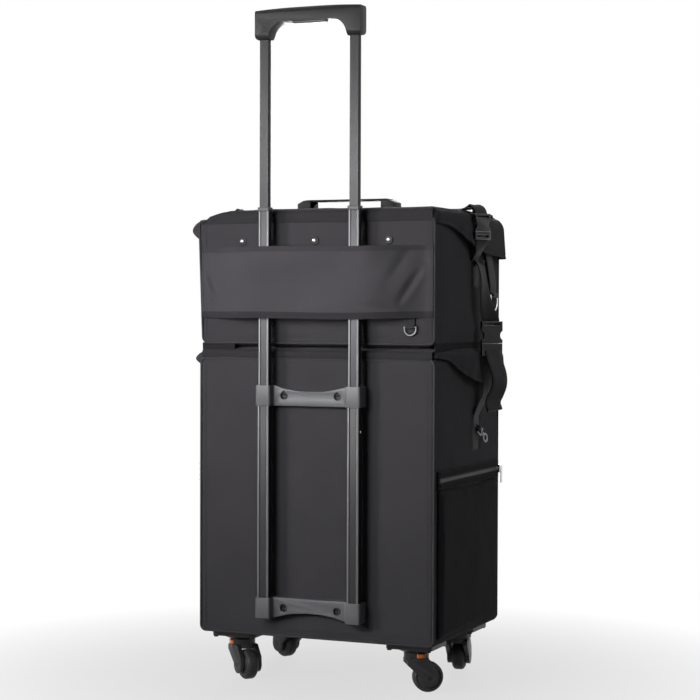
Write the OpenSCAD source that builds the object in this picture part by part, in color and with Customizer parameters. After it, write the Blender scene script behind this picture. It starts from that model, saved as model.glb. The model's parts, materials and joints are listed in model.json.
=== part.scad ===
// Soft-sided two-piece rolling case: a tall lower bag on four casters, a shorter upper bag that
// slides over the rails of a two-stage telescopic handle, and a flap lid on each bag.
// Millimetres. +Z is up, the rails are on the +Y side, the opening side faces -Y.
// The origin is the centre of the footprint, on the ground.

/* [Case body] */
// Width of both bags across the side panels
case_w = 378; // [320:2:440]
// Depth of both bags from back panel to front panel
case_d = 282; // [240:2:340]
// Thickness of a padded wall
wall = 6; // [5:0.5:8]
// Radius of the upright edges
corner_r = 9; // [8:1:20]
// Height of the lower bag's walls
lower_h = 414; // [380:2:480]
// Height of the upper bag's walls
upper_h = 185; // [170:1:240]
// Thickness of the boards inside the lower bag
board_t = 4; // [3:0.5:5]
// Thickness of the padded dividers
divider_t = 6; // [4:1:10]
// Distance of the upper dividers from the middle
divider_x = 62; // [40:2:90]
// Depth of the lower divider's top below the lower bag's walls
divider_down = 90; // [60:5:160]
// Height of the rubber feet under the upper bag
foot_h = 6.7; // [5:0.1:10]

/* [Flap lids] */
// Thickness of the lid panels
lid_t = 9.6; // [8:0.2:12]
// How far the lids stand out past the walls
lid_lap = 8; // [6:0.5:12]
// Rise of the padded upper lid in its middle
upper_crown = 6; // [4:0.5:8]
// Rise of the padded lower lid in its middle
lower_crown = 4; // [2:0.5:6]
// Length of the upper lid's front flap
upper_drop = 59; // [45:1:75]
// Length of the lower lid's front flap
lower_drop = 54; // [45:1:75]

/* [Rail sleeve] */
// Height of the sleeve that holds the upper bag to the rails
sleeve_h = 104; // [80:2:120]
// Height of the sleeve's lower edge above the upper bag's floor
sleeve_up = 39; // [34:1:50]
// Distance of the sleeve's sewn ends from the case's sides
sleeve_in = 9; // [8:1:24]
// Thickness of the sleeve's cloth
sleeve_t = 1.7; // [1.2:0.1:2.5]

/* [Telescopic handle] */
// Distance between the centres of the two rails
rail_gap = 144; // [120:1:160]
// Width of the outer rail tubes
rail_w = 19.4; // [18:0.2:22]
// Depth of the outer rail tubes
rail_dp = 13; // [12.6:0.2:15]
// Wall thickness of every rail tube
tube_wall = 0.8; // [0.6:0.1:1]
// Sliding clearance round each inner tube
slide_fit = 0.2; // [0.15:0.05:0.25]
// Distance of the rail centres behind the back panel
rail_out = 19; // [18:0.5:21]
// Height of the lower bracket's underside above the bag's floor
bracket_up = 30; // [20:1:50]
// Height of both brackets
bracket_h = 30; // [26:1:36]
// Distance of the upper bracket below the top of the lower bag's walls
bracket_down = 40; // [34:1:70]
// Length of the middle tubes that shows above the upper bracket
mid_show = 262; // [220:2:290]
// Length of the top tubes that shows below the grip
top_show = 245; // [200:1:270]
// Width of the grip
grip_w = 168; // [164:1:190]
// Depth of the grip
grip_dp = 23; // [20:0.5:23.5]
// Height of the grip
grip_h = 46; // [42:1:52]
// Width of the push button in the grip
button_w = 54; // [40:1:60]
// Travel of the push button
button_travel = 3; // [2:0.5:3.5]

/* [Casters] */
// Height of the case's floor above the ground
caster_h = 76; // [70:1:84]
// Diameter of the wheels
wheel_d = 45; // [40:1:48]
// Width of the wheels
wheel_w = 20; // [16:1:22]
// Distance of each wheel's axle behind its swivel
trail = 17; // [14:0.5:20]
// Diameter of the axles
axle_d = 6; // [5:0.5:8]
// Distance of the swivels from the case's sides
caster_side_in = 47; // [44:1:70]
// Distance of the swivels from the front and the back of the case
caster_in = 52; // [46:1:70]
// Side length of the caster plates
plate_w = 72; // [60:1:78]
// Travel of the orange release buttons
release_travel = 2; // [1:0.5:2.5]

/* [Straps and pockets] */
// Width of the webbing
web_w = 25; // [20:1:28]
// Thickness of the webbing
web_t = 1.8; // [1.4:0.1:2.2]
// Width of the side-release buckles
buckle_w = 34; // [32:1:38]
// Thickness of the side-release buckles
buckle_t = 7.4; // [7:0.2:9]
// Thickness of the side and front pockets
pocket_t = 6; // [4:0.5:8]
// Height of the zipped band's lower edge above the bag's floor
band_up = 226; // [180:2:250]
// Height of the zipped band
band_h = 27; // [22:1:32]

/* [Hidden] */

// Colours as the photograph shows them
cloth = [0.10, 0.10, 0.11];
web_black = [0.06, 0.06, 0.07];
plastic = [0.13, 0.13, 0.14];
rail_grey = [0.22, 0.22, 0.24];
steel = [0.72, 0.73, 0.75];
orange = [0.93, 0.38, 0.12];
tyre = [0.12, 0.12, 0.13];
board_grey = [0.25, 0.25, 0.26];

// Clearances: pieces that only lie close, pieces that turn, and tubes that are held fast
near = 0.3;
turn_fit = 0.05;
seat_fit = 0.1;
rim_gap = 0.4;
skirt_gap = 0.6;

// Levels of the two bags
lower_top = caster_h + lower_h;
lower_lid_z = lower_top + rim_gap + lid_t;
upper_z = lower_lid_z + lower_crown + near + foot_h;
upper_top = upper_z + upper_h;
upper_lid_z = upper_top + rim_gap + lid_t;

// The tallest parts behind the back panel and in front of the front panel set the origin
slider_t = 4.5;
tab_t = 1.6;
band_t = pocket_t + 1;
grip_gap = 0.8;
sleeve_out = rail_out + grip_dp / 2 + grip_gap + sleeve_t;
front_out = max(lid_lap, band_t + slider_t + tab_t);
back_y = (front_out + case_d + sleeve_out) / 2 - sleeve_out;
front_y = back_y - case_d;

// Lids: the axis runs along the top rear edge
foot_w = 28;
foot_d = 14;
foot_in = 50;
hinge_in = 2;
back_drop = [lid_t, 18];
flare_in = 20;
flare_l = case_d - 72;
crown_edge = 2;
crown_slope = 53;

// Rails
mid_w = rail_w - 2 * (tube_wall + slide_fit);
mid_dp = rail_dp - 2 * (tube_wall + slide_fit);
top_w = mid_w - 2 * (tube_wall + slide_fit);
top_dp = mid_dp - 2 * (tube_wall + slide_fit);
tube_r = 3;
top_tube_r = tube_r - tube_wall;
rail_y = back_y + rail_out;
low_z = caster_h + bracket_up;
high_z = lower_top - bracket_down - bracket_h;
bracket_top = high_z + bracket_h;
bracket_lip = 4;
mid_top = bracket_top + mid_show;
grip_z = mid_top + top_show;
mid_overlap = 70;
top_overlap = 57;
leg_w = 22;
grip_crown = 3.4;
arch_h = 25;
socket_h = 20;
collar_h = 6;
collar_lip = 1.5;
collar_wall = 1.3;
channel_z = grip_z + arch_h + 4;
link_h = 4;
link_rise = 1;
channel_h = link_rise + link_h + button_travel + 1;
spring_room = 2;
button_proud = 2.8;

// Brackets
block_w = rail_w + 4;
block_dp = rail_out + rail_dp / 2 + 1.8;
yoke_dp = 14;
yoke_dip = 9.3;
screw_sink = 3;
bracket_screw_x = 43;
screw_r = 2.5;
screw_head_r = 5;
screw_head_h = 3.2;

// Casters: 0 and 1 are the rear pair, 2 and 3 the front pair; the angle is the way the wheel trails
caster_side = [1, -1, 1, -1];
caster_rear = [true, true, false, false];
caster_turn = [51, 122, 240, 191];
caster_x = case_w / 2 - caster_side_in;
plate_t = 9;
cone_h = 7;
neck_h = 8;
neck_r = 18.5;
hood_r = 18.5;
hood_h = 5.6;
stem_r = 5;
neck_z = caster_h - plate_t - cone_h - neck_h;
hood_z = neck_z - rim_gap;
leg_in = wheel_w / 2 + 1;
leg_t = 6.5;
disc_r = 13;
plate_screw_in = 5.5;
plate_screw_r = 2;
plate_head_r = 3.6;
plate_head_h = 2.4;
release_w = 13;
release_h = 6.4;
release_proud = 2.4;
release_deep = 7;

// Straps: places are distances in front of the back panel, and out from the middle
side_x = case_w / 2;
skirt_x = side_x + lid_lap;
lid_buckle_in = case_d / 2 + 4;
lid_buckle_turn = 22;
join_buckle_in = case_d / 2 + 38;
join_buckle_turn = 45;
lid_female_h = 26;
lid_male_h = 13;
join_female_h = 33;
join_male_h = 19;
join_top = upper_z + 34;
lid_buckle_x = skirt_x + 4.5 + buckle_w / 2 * sin(lid_buckle_turn);
join_buckle_x = skirt_x + 3.6 + buckle_w / 2 * sin(join_buckle_turn);
plate_thin = 1.6;
prong_t = 2.4;
prong_x = 9;
prong_half = 5;
guide_half = 3;
tongue_h = 15;
bar_h = 3;
web_slot = 4;
anchor_in = case_d / 2 + 24;
anchor_half = 16;
anchor_up = 84;
anchor_h = 48;
ring_up = 73;
anchor_low = upper_z + anchor_up;
anchor_high = anchor_low + anchor_h;
low_strap_in = case_d / 2 + 49;
low_tab_in = case_d / 2 + 27;
low_tab_half = 18;
low_tab_down = 86;
low_tab_top = lower_top - low_tab_down;
low_tab_h = 54;
tail_len = 86;
ring_in = case_d - 36;
ring_z = upper_z + ring_up;
ring_wire = 1.5;
ring_half = 15;
ring_leg = 8;
loop_out = 4.2;
loop_bore = 2.4;
hook_in = low_tab_in + 4;
hook_bar_z = low_tab_top - 22;
hook_half = 6;
hook_leg = 8;
hook_barrel_r = 3.2;
hook_barrel_h = 7;
hook_ball_r = 2.3;
hook_wire = 1.5;
hook_out = loop_out + 2;
hook_r = 5.5;
hook_lean = 48;
hook_stand = 12;

// Top carry handle
handle_in = case_d / 2 - 14;
handle_half = 80;
cap_l = 22;
cap_wall = 4;
cap_slope = 5;
cap_w = 30;
cap_h = 17;
cap_floor = 1.6;
strap_t = 3;
strap_foot = 5;
strap_rise = 13;

// Pockets
pocket_in = 22;
slider_in = case_d - 20;
front_pocket_half = side_x - 39;
slider_w = 8;
slider_h = 12;
tab_l = 22;

// Back panel trims
stud_in = 71.5;
stud_x = side_x - stud_in;
stud_ring_r = 5.6;
stud_ring_t = 1.4;
stud_r = 3.2;
stud_h = 2.8;
stud_dome = 0.8;
stud_down = 33;
ring_tab_x = side_x - 37;
ring_tab_w = 14;
ring_tab_z = upper_z + 26;
d_wire = 1.2;
d_half = 9;
d_leg = 3;

// A rounded rectangle, made of squares and circles so that its edges stay true
module round_rect(w, d, r) {
    square([w - 2 * r, d], center = true);
    square([w, d - 2 * r], center = true);
    for (x = [-1, 1], y = [-1, 1])
        translate([x * (w / 2 - r), y * (d / 2 - r)]) circle(r, $fn = 48);
}

// An upright prism with rounded upright edges, from z0 to z1, centred on cx and cy
module round_prism(w, d, r, z0, z1, cx = 0, cy = 0) {
    translate([cx, cy, z0]) linear_extrude(z1 - z0) round_rect(w, d, r);
}

// A box between two corners
module block(low, high) {
    translate(low) cube(high - low);
}

// The same piece on both sides of the case
module both_sides() {
    children();
    mirror([1, 0, 0]) children();
}

// A shape drawn in X and Z, given a width along Y round the middle y
module across_y(y, w) {
    translate([0, y + w / 2, 0]) rotate([90, 0, 0]) linear_extrude(w) children();
}

// A shape drawn in Y and Z, given a width along X round the middle x
module across_x(x, w) {
    translate([x - w / 2, 0, 0]) rotate([90, 0, 90]) linear_extrude(w) children();
}

function side_normal(a, b) = let (d = b - a) [-d[1], d[0]] / norm(d);
function bend_normal(p, i) =
    i == 0 ? side_normal(p[0], p[1])
    : i == len(p) - 1 ? side_normal(p[i - 1], p[i])
    : let (a = side_normal(p[i - 1], p[i]), b = side_normal(p[i], p[i + 1]), m = (a + b) / norm(a + b))
        m / (m * a);

// A strip of even thickness along a bent line
module ribbon(p, t) {
    polygon(concat(
        [for (i = [0 : len(p) - 1]) p[i] + bend_normal(p, i) * t / 2],
        [for (i = [len(p) - 1 : -1 : 0]) p[i] - bend_normal(p, i) * t / 2]));
}

// Webbing that leans along the case's side: one line in X and Z, another in Y and Z
module web(xz, yz) {
    reach = 200;
    intersection() {
        across_y(yz[0][0], reach) ribbon(xz, web_t);
        across_x(xz[0][0], reach) ribbon(yz, web_w);
    }
}

// A rounded tube section
module tube(w, d, z0, z1, x) {
    difference() {
        round_prism(w, d, tube_r, z0, z1, x, rail_y);
        round_prism(w - 2 * tube_wall, d - 2 * tube_wall, tube_r - tube_wall, z0 - 1, z1 + 1, x, rail_y);
    }
}

// Lids

function eased(t) = let (u = min(max(t, 0), 1)) u * u * (3 - 2 * u);
function skirt_drop(v, back, front) = back + (front - back) * eased((v - flare_in) / flare_l);

// How far a lid has risen at the distance d inside its edge
function crown_at(d, crown) = crown * min(max((d - crown_edge) / crown_slope, 0), 1);

// A flap lid: a padded panel with a skirt that grows from the back corner to the front flap
module flap_lid(z_top, back, front, crown) {
    depth = case_d + lid_lap - hinge_in;
    mid_y = back_y - hinge_in - depth / 2;
    out_w = case_w + 2 * lid_lap;
    steps = 12;
    intersection() {
        union() {
            round_prism(out_w, depth, corner_r, z_top - lid_t, z_top, 0, mid_y);
            difference() {
                round_prism(out_w, depth, corner_r, z_top - front, z_top, 0, mid_y);
                round_prism(case_w + 2 * skirt_gap, 2 * case_d, corner_r,
                            z_top - front - 1, z_top - lid_t, 0, back_y - skirt_gap);
            }
        }
        across_x(0, out_w + 2) polygon(concat(
            [[back_y - hinge_in + 1, z_top + 1], [back_y - hinge_in + 1, z_top - back]],
            [for (i = [0 : steps]) let (v = flare_in + i * flare_l / steps)
                [back_y - v, z_top - skirt_drop(v, back, front)]],
            [[back_y - hinge_in - depth - 1, z_top - front], [back_y - hinge_in - depth - 1, z_top + 1]]));
    }
    lid_crown(out_w, depth, mid_y, z_top, crown);
}

// The padded rise in the middle of a lid
module lid_crown(out_w, depth, mid_y, z_top, crown) {
    flat_in = 2 * (crown_edge + crown_slope);
    hull() {
        round_prism(out_w - 2 * crown_edge, depth - 2 * crown_edge, corner_r, z_top - 1, z_top, 0, mid_y);
        round_prism(out_w - flat_in, depth - flat_in, flat_in / 4,
                    z_top + crown - 0.2, z_top + crown, 0, mid_y);
    }
}

module lower_lid() {
    color(cloth) flap_lid(lower_lid_z, back_drop[0], lower_drop, lower_crown);
}

module upper_lid() {
    color(cloth) flap_lid(upper_lid_z, back_drop[1], upper_drop, upper_crown);
}

// Lower bag

module shell_walls(z0, z1, lid_z) {
    mid_y = back_y - case_d / 2;
    strip_t = hinge_in - rim_gap;
    difference() {
        round_prism(case_w, case_d, corner_r, z0, z1, 0, mid_y);
        round_prism(case_w - 2 * wall, case_d - 2 * wall, corner_r - wall / 2, z0 + wall, z1 + 1, 0, mid_y);
    }
    // the cloth strip that the lid is sewn to
    block([-case_w / 2 + corner_r, back_y - strip_t, z1], [case_w / 2 - corner_r, back_y, lid_z]);
}

module at_bracket_screws() {
    for (x = [-bracket_screw_x, bracket_screw_x], z = [low_z, high_z])
        translate([x, back_y, z + bracket_h / 2]) children();
}

module at_casters() {
    for (i = [0 : 3]) at_caster(i) children();
}

module at_caster(i) {
    translate([caster_side[i] * caster_x, caster_rear[i] ? back_y - caster_in : front_y + caster_in, 0])
        children();
}

module at_plate_screws() {
    spot = plate_w / 2 - plate_screw_in;
    at_casters() for (x = [-spot, spot], y = [-spot, spot]) translate([x, y, 0]) children();
}

module lower_shell() {
    color(cloth) difference() {
        shell_walls(caster_h, lower_top, lower_lid_z);
        at_bracket_screws() rotate([90, 0, 0])
            cylinder(r = screw_r + near, h = 2 * wall + 2, center = true, $fn = 32);
        at_plate_screws() translate([0, 0, caster_h - 1])
            cylinder(r = plate_screw_r + near, h = wall + 2, $fn = 24);
    }
}

module base_board() {
    color(board_grey) difference() {
        round_prism(case_w - 2 * wall - 2, case_d - 2 * wall - 2, corner_r - wall, caster_h + wall,
                    caster_h + wall + board_t, 0, back_y - case_d / 2);
        at_plate_screws() translate([0, 0, caster_h])
            cylinder(r = plate_screw_r + seat_fit, h = wall + board_t + 1, $fn = 24);
    }
}

module back_board() {
    color(board_grey) difference() {
        block([-case_w / 2 + wall + corner_r, back_y - wall - board_t, caster_h + wall + board_t],
              [case_w / 2 - wall - corner_r, back_y - wall, lower_top - 8]);
        at_bracket_screws() rotate([90, 0, 0])
            cylinder(r = screw_r + seat_fit, h = wall + board_t + 1, $fn = 32);
    }
}

module lower_divider() {
    z0 = caster_h + wall + board_t + near;
    color(board_grey) block([-case_w / 2 + wall + near, back_y - case_d / 2 - divider_t / 2, z0],
                            [case_w / 2 - wall - near, back_y - case_d / 2 + divider_t / 2, lower_top - divider_down]);
}

// Pockets on both sides and the front, under a zipped band
module outer_pockets() {
    z0 = caster_h + 8;
    z1 = caster_h + band_up;
    color(cloth) {
        both_sides() translate([side_x, 0, 0]) pocket_pad(z0, z1, back_y - pocket_in, front_y + pocket_in - 8);
        translate([0, front_y, 0]) rotate([0, 0, -90])
            pocket_pad(z0, z1, front_pocket_half, -front_pocket_half);
    }
}

// A flat pocket with rounded front edges, standing out along +X between y1 and y0
module pocket_pad(z0, z1, y1, y0) {
    r = pocket_t * 0.8;
    difference() {
        block([0, y0, z0], [pocket_t, y1, z1]);
        for (y = [y0, y1]) translate([pocket_t, y, z0 - 1]) rotate([0, 0, 45])
            cube([r, r, 2 * (z1 - z0) + 4], center = true);
    }
}

module pocket_zips() {
    z0 = caster_h + band_up;
    color(web_black) {
        both_sides() block([side_x, front_y + pocket_in - 10, z0],
                           [side_x + band_t, back_y - pocket_in + 2, z0 + band_h]);
        block([-front_pocket_half - 2, front_y - band_t, z0], [front_pocket_half + 2, front_y, z0 + band_h]);
    }
}

// A zip slider with its hanging pull tab, in front of a band that faces +X
module zip_slider() {
    z = caster_h + band_up + band_h / 2;
    block([near, -slider_w / 2, z - slider_h / 2], [slider_t, slider_w / 2, z + slider_h / 2]);
    block([slider_t, -slider_w / 2 + 1, z - tab_l], [slider_t + tab_t, slider_w / 2 - 1, z + slider_h / 3]);
}

module zip_slider_right() {
    color(steel) translate([side_x + band_t, back_y - slider_in, 0]) zip_slider();
}

module zip_slider_left() {
    mirror([1, 0, 0]) zip_slider_right();
}

module zip_slider_front() {
    color(steel) translate([front_pocket_half - 12, front_y - band_t, 0]) rotate([0, 0, -90]) zip_slider();
}

// Rails and brackets

module at_rails() {
    for (x = [-rail_gap / 2, rail_gap / 2]) translate([x, 0, 0]) children();
}

module fixed_rails() {
    color(rail_grey) at_rails()
        tube(rail_w, rail_dp, low_z + bracket_lip, bracket_top - bracket_lip - seat_fit, 0);
}

// The yoke between the two blocks, with its hollowed edge on top or below
module bracket_yoke(z0, dip_top) {
    half = rail_gap / 2 - block_w / 2 + 0.5;
    chord = half - 1;
    r = (chord * chord + yoke_dip * yoke_dip) / (2 * yoke_dip);
    across_y(back_y + yoke_dp / 2, yoke_dp) difference() {
        translate([-half, z0]) square([2 * half, bracket_h]);
        translate([0, dip_top ? z0 + bracket_h - yoke_dip + r : z0 + yoke_dip - r]) circle(r, $fn = 240);
    }
}

module rail_bracket(z0, lower) {
    round_top = 3;
    difference() {
        union() {
            at_rails() round_prism(block_w, block_dp, round_top, z0, z0 + bracket_h, 0, back_y + block_dp / 2);
            bracket_yoke(z0, !lower);
        }
        at_rails() round_prism(rail_w + 2 * seat_fit, rail_dp + 2 * seat_fit, tube_r,
                               lower ? z0 + bracket_lip : z0 - 1,
                               lower ? z0 + bracket_h + 1 : z0 + bracket_h - bracket_lip, 0, rail_y);
        if (!lower) at_rails() round_prism(mid_w + 4 * slide_fit, mid_dp + 4 * slide_fit, tube_r,
                                           z0, z0 + bracket_h + 1, 0, rail_y);
        at_bracket_screws() {
            rotate([90, 0, 0]) cylinder(r = screw_r + seat_fit, h = 3 * yoke_dp, center = true, $fn = 32);
            translate([0, yoke_dp - screw_head_h - screw_sink, 0]) rotate([-90, 0, 0])
                cylinder(r = screw_head_r + 1, h = yoke_dp, $fn = 48);
        }
    }
}

module top_bracket() {
    color(plastic) rail_bracket(high_z, false);
}

module bottom_bracket() {
    color(plastic) rail_bracket(low_z, true);
}

module bracket_screws() {
    seat = yoke_dp - screw_head_h - screw_sink;
    color(plastic) at_bracket_screws() {
        translate([0, seat, 0]) rotate([-90, 0, 0]) difference() {
            cylinder(r = screw_head_r, h = screw_head_h, $fn = 32);
            for (a = [0, 90]) rotate([0, 0, a])
                translate([0, 0, screw_head_h]) cube([6, 1.2, 2.4], center = true);
        }
        translate([0, -wall - board_t, 0]) rotate([-90, 0, 0])
            cylinder(r = screw_r, h = seat + wall + board_t, $fn = 32);
    }
}

// Casters

module wheel_plates() {
    z_slab = caster_h - plate_t;
    color(plastic) for (i = [0 : 3]) at_caster(i) difference() {
        union() {
            round_prism(plate_w, plate_w, 8, z_slab, caster_h);
            translate([0, 0, z_slab - cone_h])
                cylinder(r1 = neck_r + 1, r2 = plate_w / 2 - 1, h = cone_h, $fn = 64);
            translate([0, 0, neck_z]) cylinder(r = neck_r, h = neck_h, $fn = 64);
        }
        translate([0, 0, neck_z - 1]) cylinder(r = stem_r + turn_fit, h = neck_h + cone_h, $fn = 48);
        translate([0, 0, z_slab]) {
            spot = plate_w / 2 - plate_screw_in;
            for (x = [-spot, spot], y = [-spot, spot])
                translate([x, y, -1]) cylinder(r = plate_screw_r + seat_fit, h = plate_t + 2, $fn = 24);
        }
        toward_corner(i) block([neck_r - release_deep - release_travel - near, -release_w / 2 - near, neck_z - 1],
                               [neck_r + 6, release_w / 2 + near, neck_z + release_h + 1.2]);
    }
}

// Turns +X to the case's nearest corner, for the caster with number i
module toward_corner(i) {
    rotate([0, 0, atan2(caster_rear[i] ? 1 : -1, caster_side[i])]) children();
}

module release_button(i) {
    color(orange) at_caster(i) toward_corner(i) intersection() {
        block([neck_r - release_deep, -release_w / 2, neck_z + 0.5],
              [neck_r + release_proud, release_w / 2, neck_z + 0.5 + release_h]);
        translate([0, 0, neck_z]) cylinder(r = neck_r + release_proud, h = neck_h, $fn = 64);
    }
}

module plate_screws() {
    color(steel) at_plate_screws() {
        translate([0, 0, caster_h - plate_t - plate_head_h]) cylinder(r = plate_head_r, h = plate_head_h, $fn = 24);
        translate([0, 0, caster_h - plate_t - 0.5])
            cylinder(r = plate_screw_r, h = plate_t + wall + board_t + 0.5, $fn = 24);
    }
}

// One fork, drawn with its wheel trailing along +Y and then turned to its resting angle
module at_fork(i) {
    at_caster(i) rotate([0, 0, caster_turn[i]]) children();
}

module caster_fork(i) {
    axle_z = wheel_d / 2;
    color(plastic) at_fork(i) difference() {
        union() {
            translate([0, 0, hood_z - hood_h]) cylinder(r = hood_r, h = hood_h, $fn = 64);
            translate([0, 0, hood_z - hood_h])
                cylinder(r = stem_r, h = hood_h + rim_gap + neck_h + cone_h - 3, $fn = 48);
            for (s = [-1, 1]) across_x(s * (leg_in + leg_t / 2), leg_t) {
                polygon([[-hood_r + 6, hood_z], [-hood_r + 2, hood_z - 3], [-hood_r + 2, hood_z - 9],
                         [trail - disc_r, axle_z + 1], [trail, axle_z - 4], [trail + disc_r, axle_z],
                         [trail + disc_r - 1, axle_z + 12], [hood_r - 3, hood_z]]);
                translate([trail, axle_z]) circle(disc_r, $fn = 64);
            }
        }
        translate([-leg_in - leg_t - 1, trail, axle_z]) rotate([0, 90, 0])
            cylinder(r = axle_d / 2 + seat_fit, h = 2 * (leg_in + leg_t + 1), $fn = 32);
    }
}

module caster_axle(i) {
    half = leg_in + leg_t;
    color(steel) at_fork(i) translate([-half, trail, wheel_d / 2]) rotate([0, 90, 0])
        cylinder(r = axle_d / 2, h = 2 * half, $fn = 32);
}

module caster_wheel(i) {
    half = wheel_w / 2;
    r = wheel_d / 2;
    bevel = 3;
    color(tyre) at_fork(i) translate([0, trail, r]) rotate([0, 90, 0]) rotate_extrude($fn = 96) polygon([
        [axle_d / 2 + turn_fit, -half], [r - 8, -half], [r - 7, -half + 1.5], [r - 5, -half + 1.5],
        [r - 4, -half + 0.5], [r - 1, -half + bevel], [r, -half + bevel + 2],
        [r, half - bevel - 2], [r - 1, half - bevel], [r - 4, half - 0.5],
        [r - 5, half - 1.5], [r - 7, half - 1.5], [r - 8, half], [axle_d / 2 + turn_fit, half]]);
}

// Upper bag

module upper_shell() {
    color(cloth) shell_walls(upper_z, upper_top, upper_lid_z);
}

module rail_sleeve() {
    z0 = upper_z + sleeve_up;
    flat = grip_w / 2 + 4;
    half = side_x - sleeve_in;
    hem = sleeve_in - 3;
    mid = sleeve_t / 2;
    color(cloth) translate([0, back_y, z0]) linear_extrude(sleeve_h)
        ribbon([[-half - hem, mid], [-half, mid], [-flat, sleeve_out - mid],
                [flat, sleeve_out - mid], [half, mid], [half + hem, mid]], sleeve_t);
}

module snap_studs() {
    color(steel) for (x = [-stud_x, 0, stud_x])
        translate([x, back_y, upper_top - stud_down]) rotate([-90, 0, 0]) {
            cylinder(r = stud_ring_r, h = stud_ring_t, $fn = 48);
            translate([0, 0, stud_ring_t]) cylinder(r = stud_r, h = stud_h, $fn = 48);
            translate([0, 0, stud_ring_t + stud_h])
                cylinder(r1 = stud_r, r2 = stud_r - stud_dome, h = stud_dome, $fn = 48);
        }
}

module rest_feet() {
    color(tyre) for (x = [-1, 1], y = [back_y - foot_in, front_y + foot_in])
        translate([x * (side_x - foot_in), y, 0])
            round_prism(foot_w, foot_d, 3, upper_z - foot_h, upper_z);
}

module upper_dividers() {
    z0 = upper_z + wall + near;
    color(board_grey) for (x = [-divider_x, divider_x])
        block([x - divider_t / 2, front_y + wall + near, z0],
              [x + divider_t / 2, back_y - wall - near, upper_top - 20]);
}

// Side-release buckles. Drawn round the middle of the joint, X is the thickness, Y the width

module buckle_female(h) {
    gap = buckle_t - 2 * plate_thin;
    head = 8;
    difference() {
        block([-buckle_t / 2, -buckle_w / 2, 0], [buckle_t / 2, buckle_w / 2, h]);
        block([-gap / 2, -buckle_w, -1], [gap / 2, buckle_w, h - head]);
        block([-buckle_t, -web_w / 2 - 1, h - head + 2], [buckle_t, web_w / 2 + 1, h - 3]);
        for (s = [-1, 1]) translate([0, s * (buckle_w / 2 + 4), h * 0.35]) rotate([0, 90, 0])
            cylinder(r = 8, h = 2 * buckle_t, center = true, $fn = 48);
    }
}

module buckle_male(h) {
    arm = prong_half * 0.4;
    difference() {
        union() {
            block([-buckle_t / 2, -buckle_w / 2, -h], [buckle_t / 2, buckle_w / 2, -near]);
            block([-prong_t / 2, -guide_half, -1], [prong_t / 2, guide_half, tongue_h - 2]);
            for (s = [-1, 1]) {
                block([-prong_t / 2, s * prong_x - arm, -1], [prong_t / 2, s * prong_x + arm, tongue_h]);
                block([-prong_t / 2, s * (prong_x + 1.5) - prong_half / 2, tongue_h - 6],
                      [prong_t / 2, s * (prong_x + 1.5) + prong_half / 2, tongue_h]);
            }
        }
        block([-buckle_t, -web_w / 2 - 1, -h + bar_h], [buckle_t, web_w / 2 + 1, -h + bar_h + web_slot]);
    }
}

module at_lid_buckle() {
    translate([lid_buckle_x, back_y - lid_buckle_in, upper_lid_z - lid_female_h])
        rotate([0, 0, lid_buckle_turn]) children();
}

module at_join_buckle() {
    translate([join_buckle_x, back_y - join_buckle_in, join_top - join_female_h])
        rotate([0, 0, join_buckle_turn]) children();
}

module lid_buckle_females() {
    color(plastic) both_sides() at_lid_buckle() buckle_female(lid_female_h);
}

module lid_buckle_males() {
    color(plastic) both_sides() at_lid_buckle() buckle_male(lid_male_h);
}

module join_buckle_females() {
    color(plastic) both_sides() at_join_buckle() buckle_female(join_female_h);
}

module join_buckle_males() {
    color(plastic) both_sides() at_join_buckle() buckle_male(join_male_h);
}

// The web from the lid's top over its edge to the lid buckle
module lid_straps() {
    z = upper_lid_z;
    y = back_y - lid_buckle_in;
    sewn_in = 46;
    edge_in = 8;
    rise = web_t / 2 + 0.2;
    hump = 5;
    color(web_black) both_sides() web(
        [[skirt_x - sewn_in, z + crown_at(sewn_in, upper_crown) + rise],
         [skirt_x - edge_in, z + crown_at(edge_in, upper_crown) + rise],
         [skirt_x + 4, z + hump], [lid_buckle_x, z + hump - 2], [lid_buckle_x, z + near]],
        [[y, z - 20], [y, z + 30]]);
}

// Webs on the upper bag: lid buckle to its sewn patch, patch to the joining buckle, loops for the rings
module bag_straps() {
    buckle_low = upper_lid_z - lid_female_h - lid_male_h - 2 * near;
    color(web_black) {
        both_sides() {
            web([[lid_buckle_x, buckle_low], [side_x + 9, anchor_high + 10],
                 [side_x + web_t / 2 + 1, anchor_high - 12]],
                [[back_y - lid_buckle_in, buckle_low + 5], [back_y - lid_buckle_in - 4, anchor_high + 10],
                 [back_y - anchor_in + 4, anchor_high - 12]]);
            block([side_x, back_y - anchor_in - anchor_half, anchor_low],
                  [side_x + web_t, back_y - anchor_in + anchor_half, anchor_high - 10]);
            hull() {
                block([side_x, back_y - anchor_in - web_w / 2, anchor_low - 0.2],
                      [side_x + web_t, back_y - anchor_in + web_w / 2, anchor_low]);
                translate([join_buckle_x, back_y - join_buckle_in, join_top + near])
                    rotate([0, 0, join_buckle_turn])
                        block([-web_t / 2, -web_w / 2, 0], [web_t / 2, web_w / 2, 0.2]);
            }
            block([side_x, back_y - ring_in - web_w / 2, ring_z],
                  [side_x + web_t, back_y - ring_in + web_w / 2, upper_lid_z - upper_drop - 3]);
            translate([side_x + loop_out, back_y - ring_in, ring_z]) rotate([90, 0, 0]) tunnel(web_w);
        }
        block([-ring_tab_x - ring_tab_w / 2, back_y, ring_tab_z],
              [-ring_tab_x + ring_tab_w / 2, back_y + web_t, ring_tab_z + 11]);
        translate([-ring_tab_x, back_y + loop_out - 0.8, ring_tab_z]) rotate([0, 90, 0])
            tunnel(ring_tab_w, loop_out - 0.8, loop_bore - 0.6);
    }
}

// A rolled loop of webbing that a ring's bar runs through
module tunnel(w, r_out = loop_out, r_in = loop_bore) {
    difference() {
        cylinder(r = r_out, h = w, center = true, $fn = 32);
        cylinder(r = r_in, h = w + 2, center = true, $fn = 32);
    }
}

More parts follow.
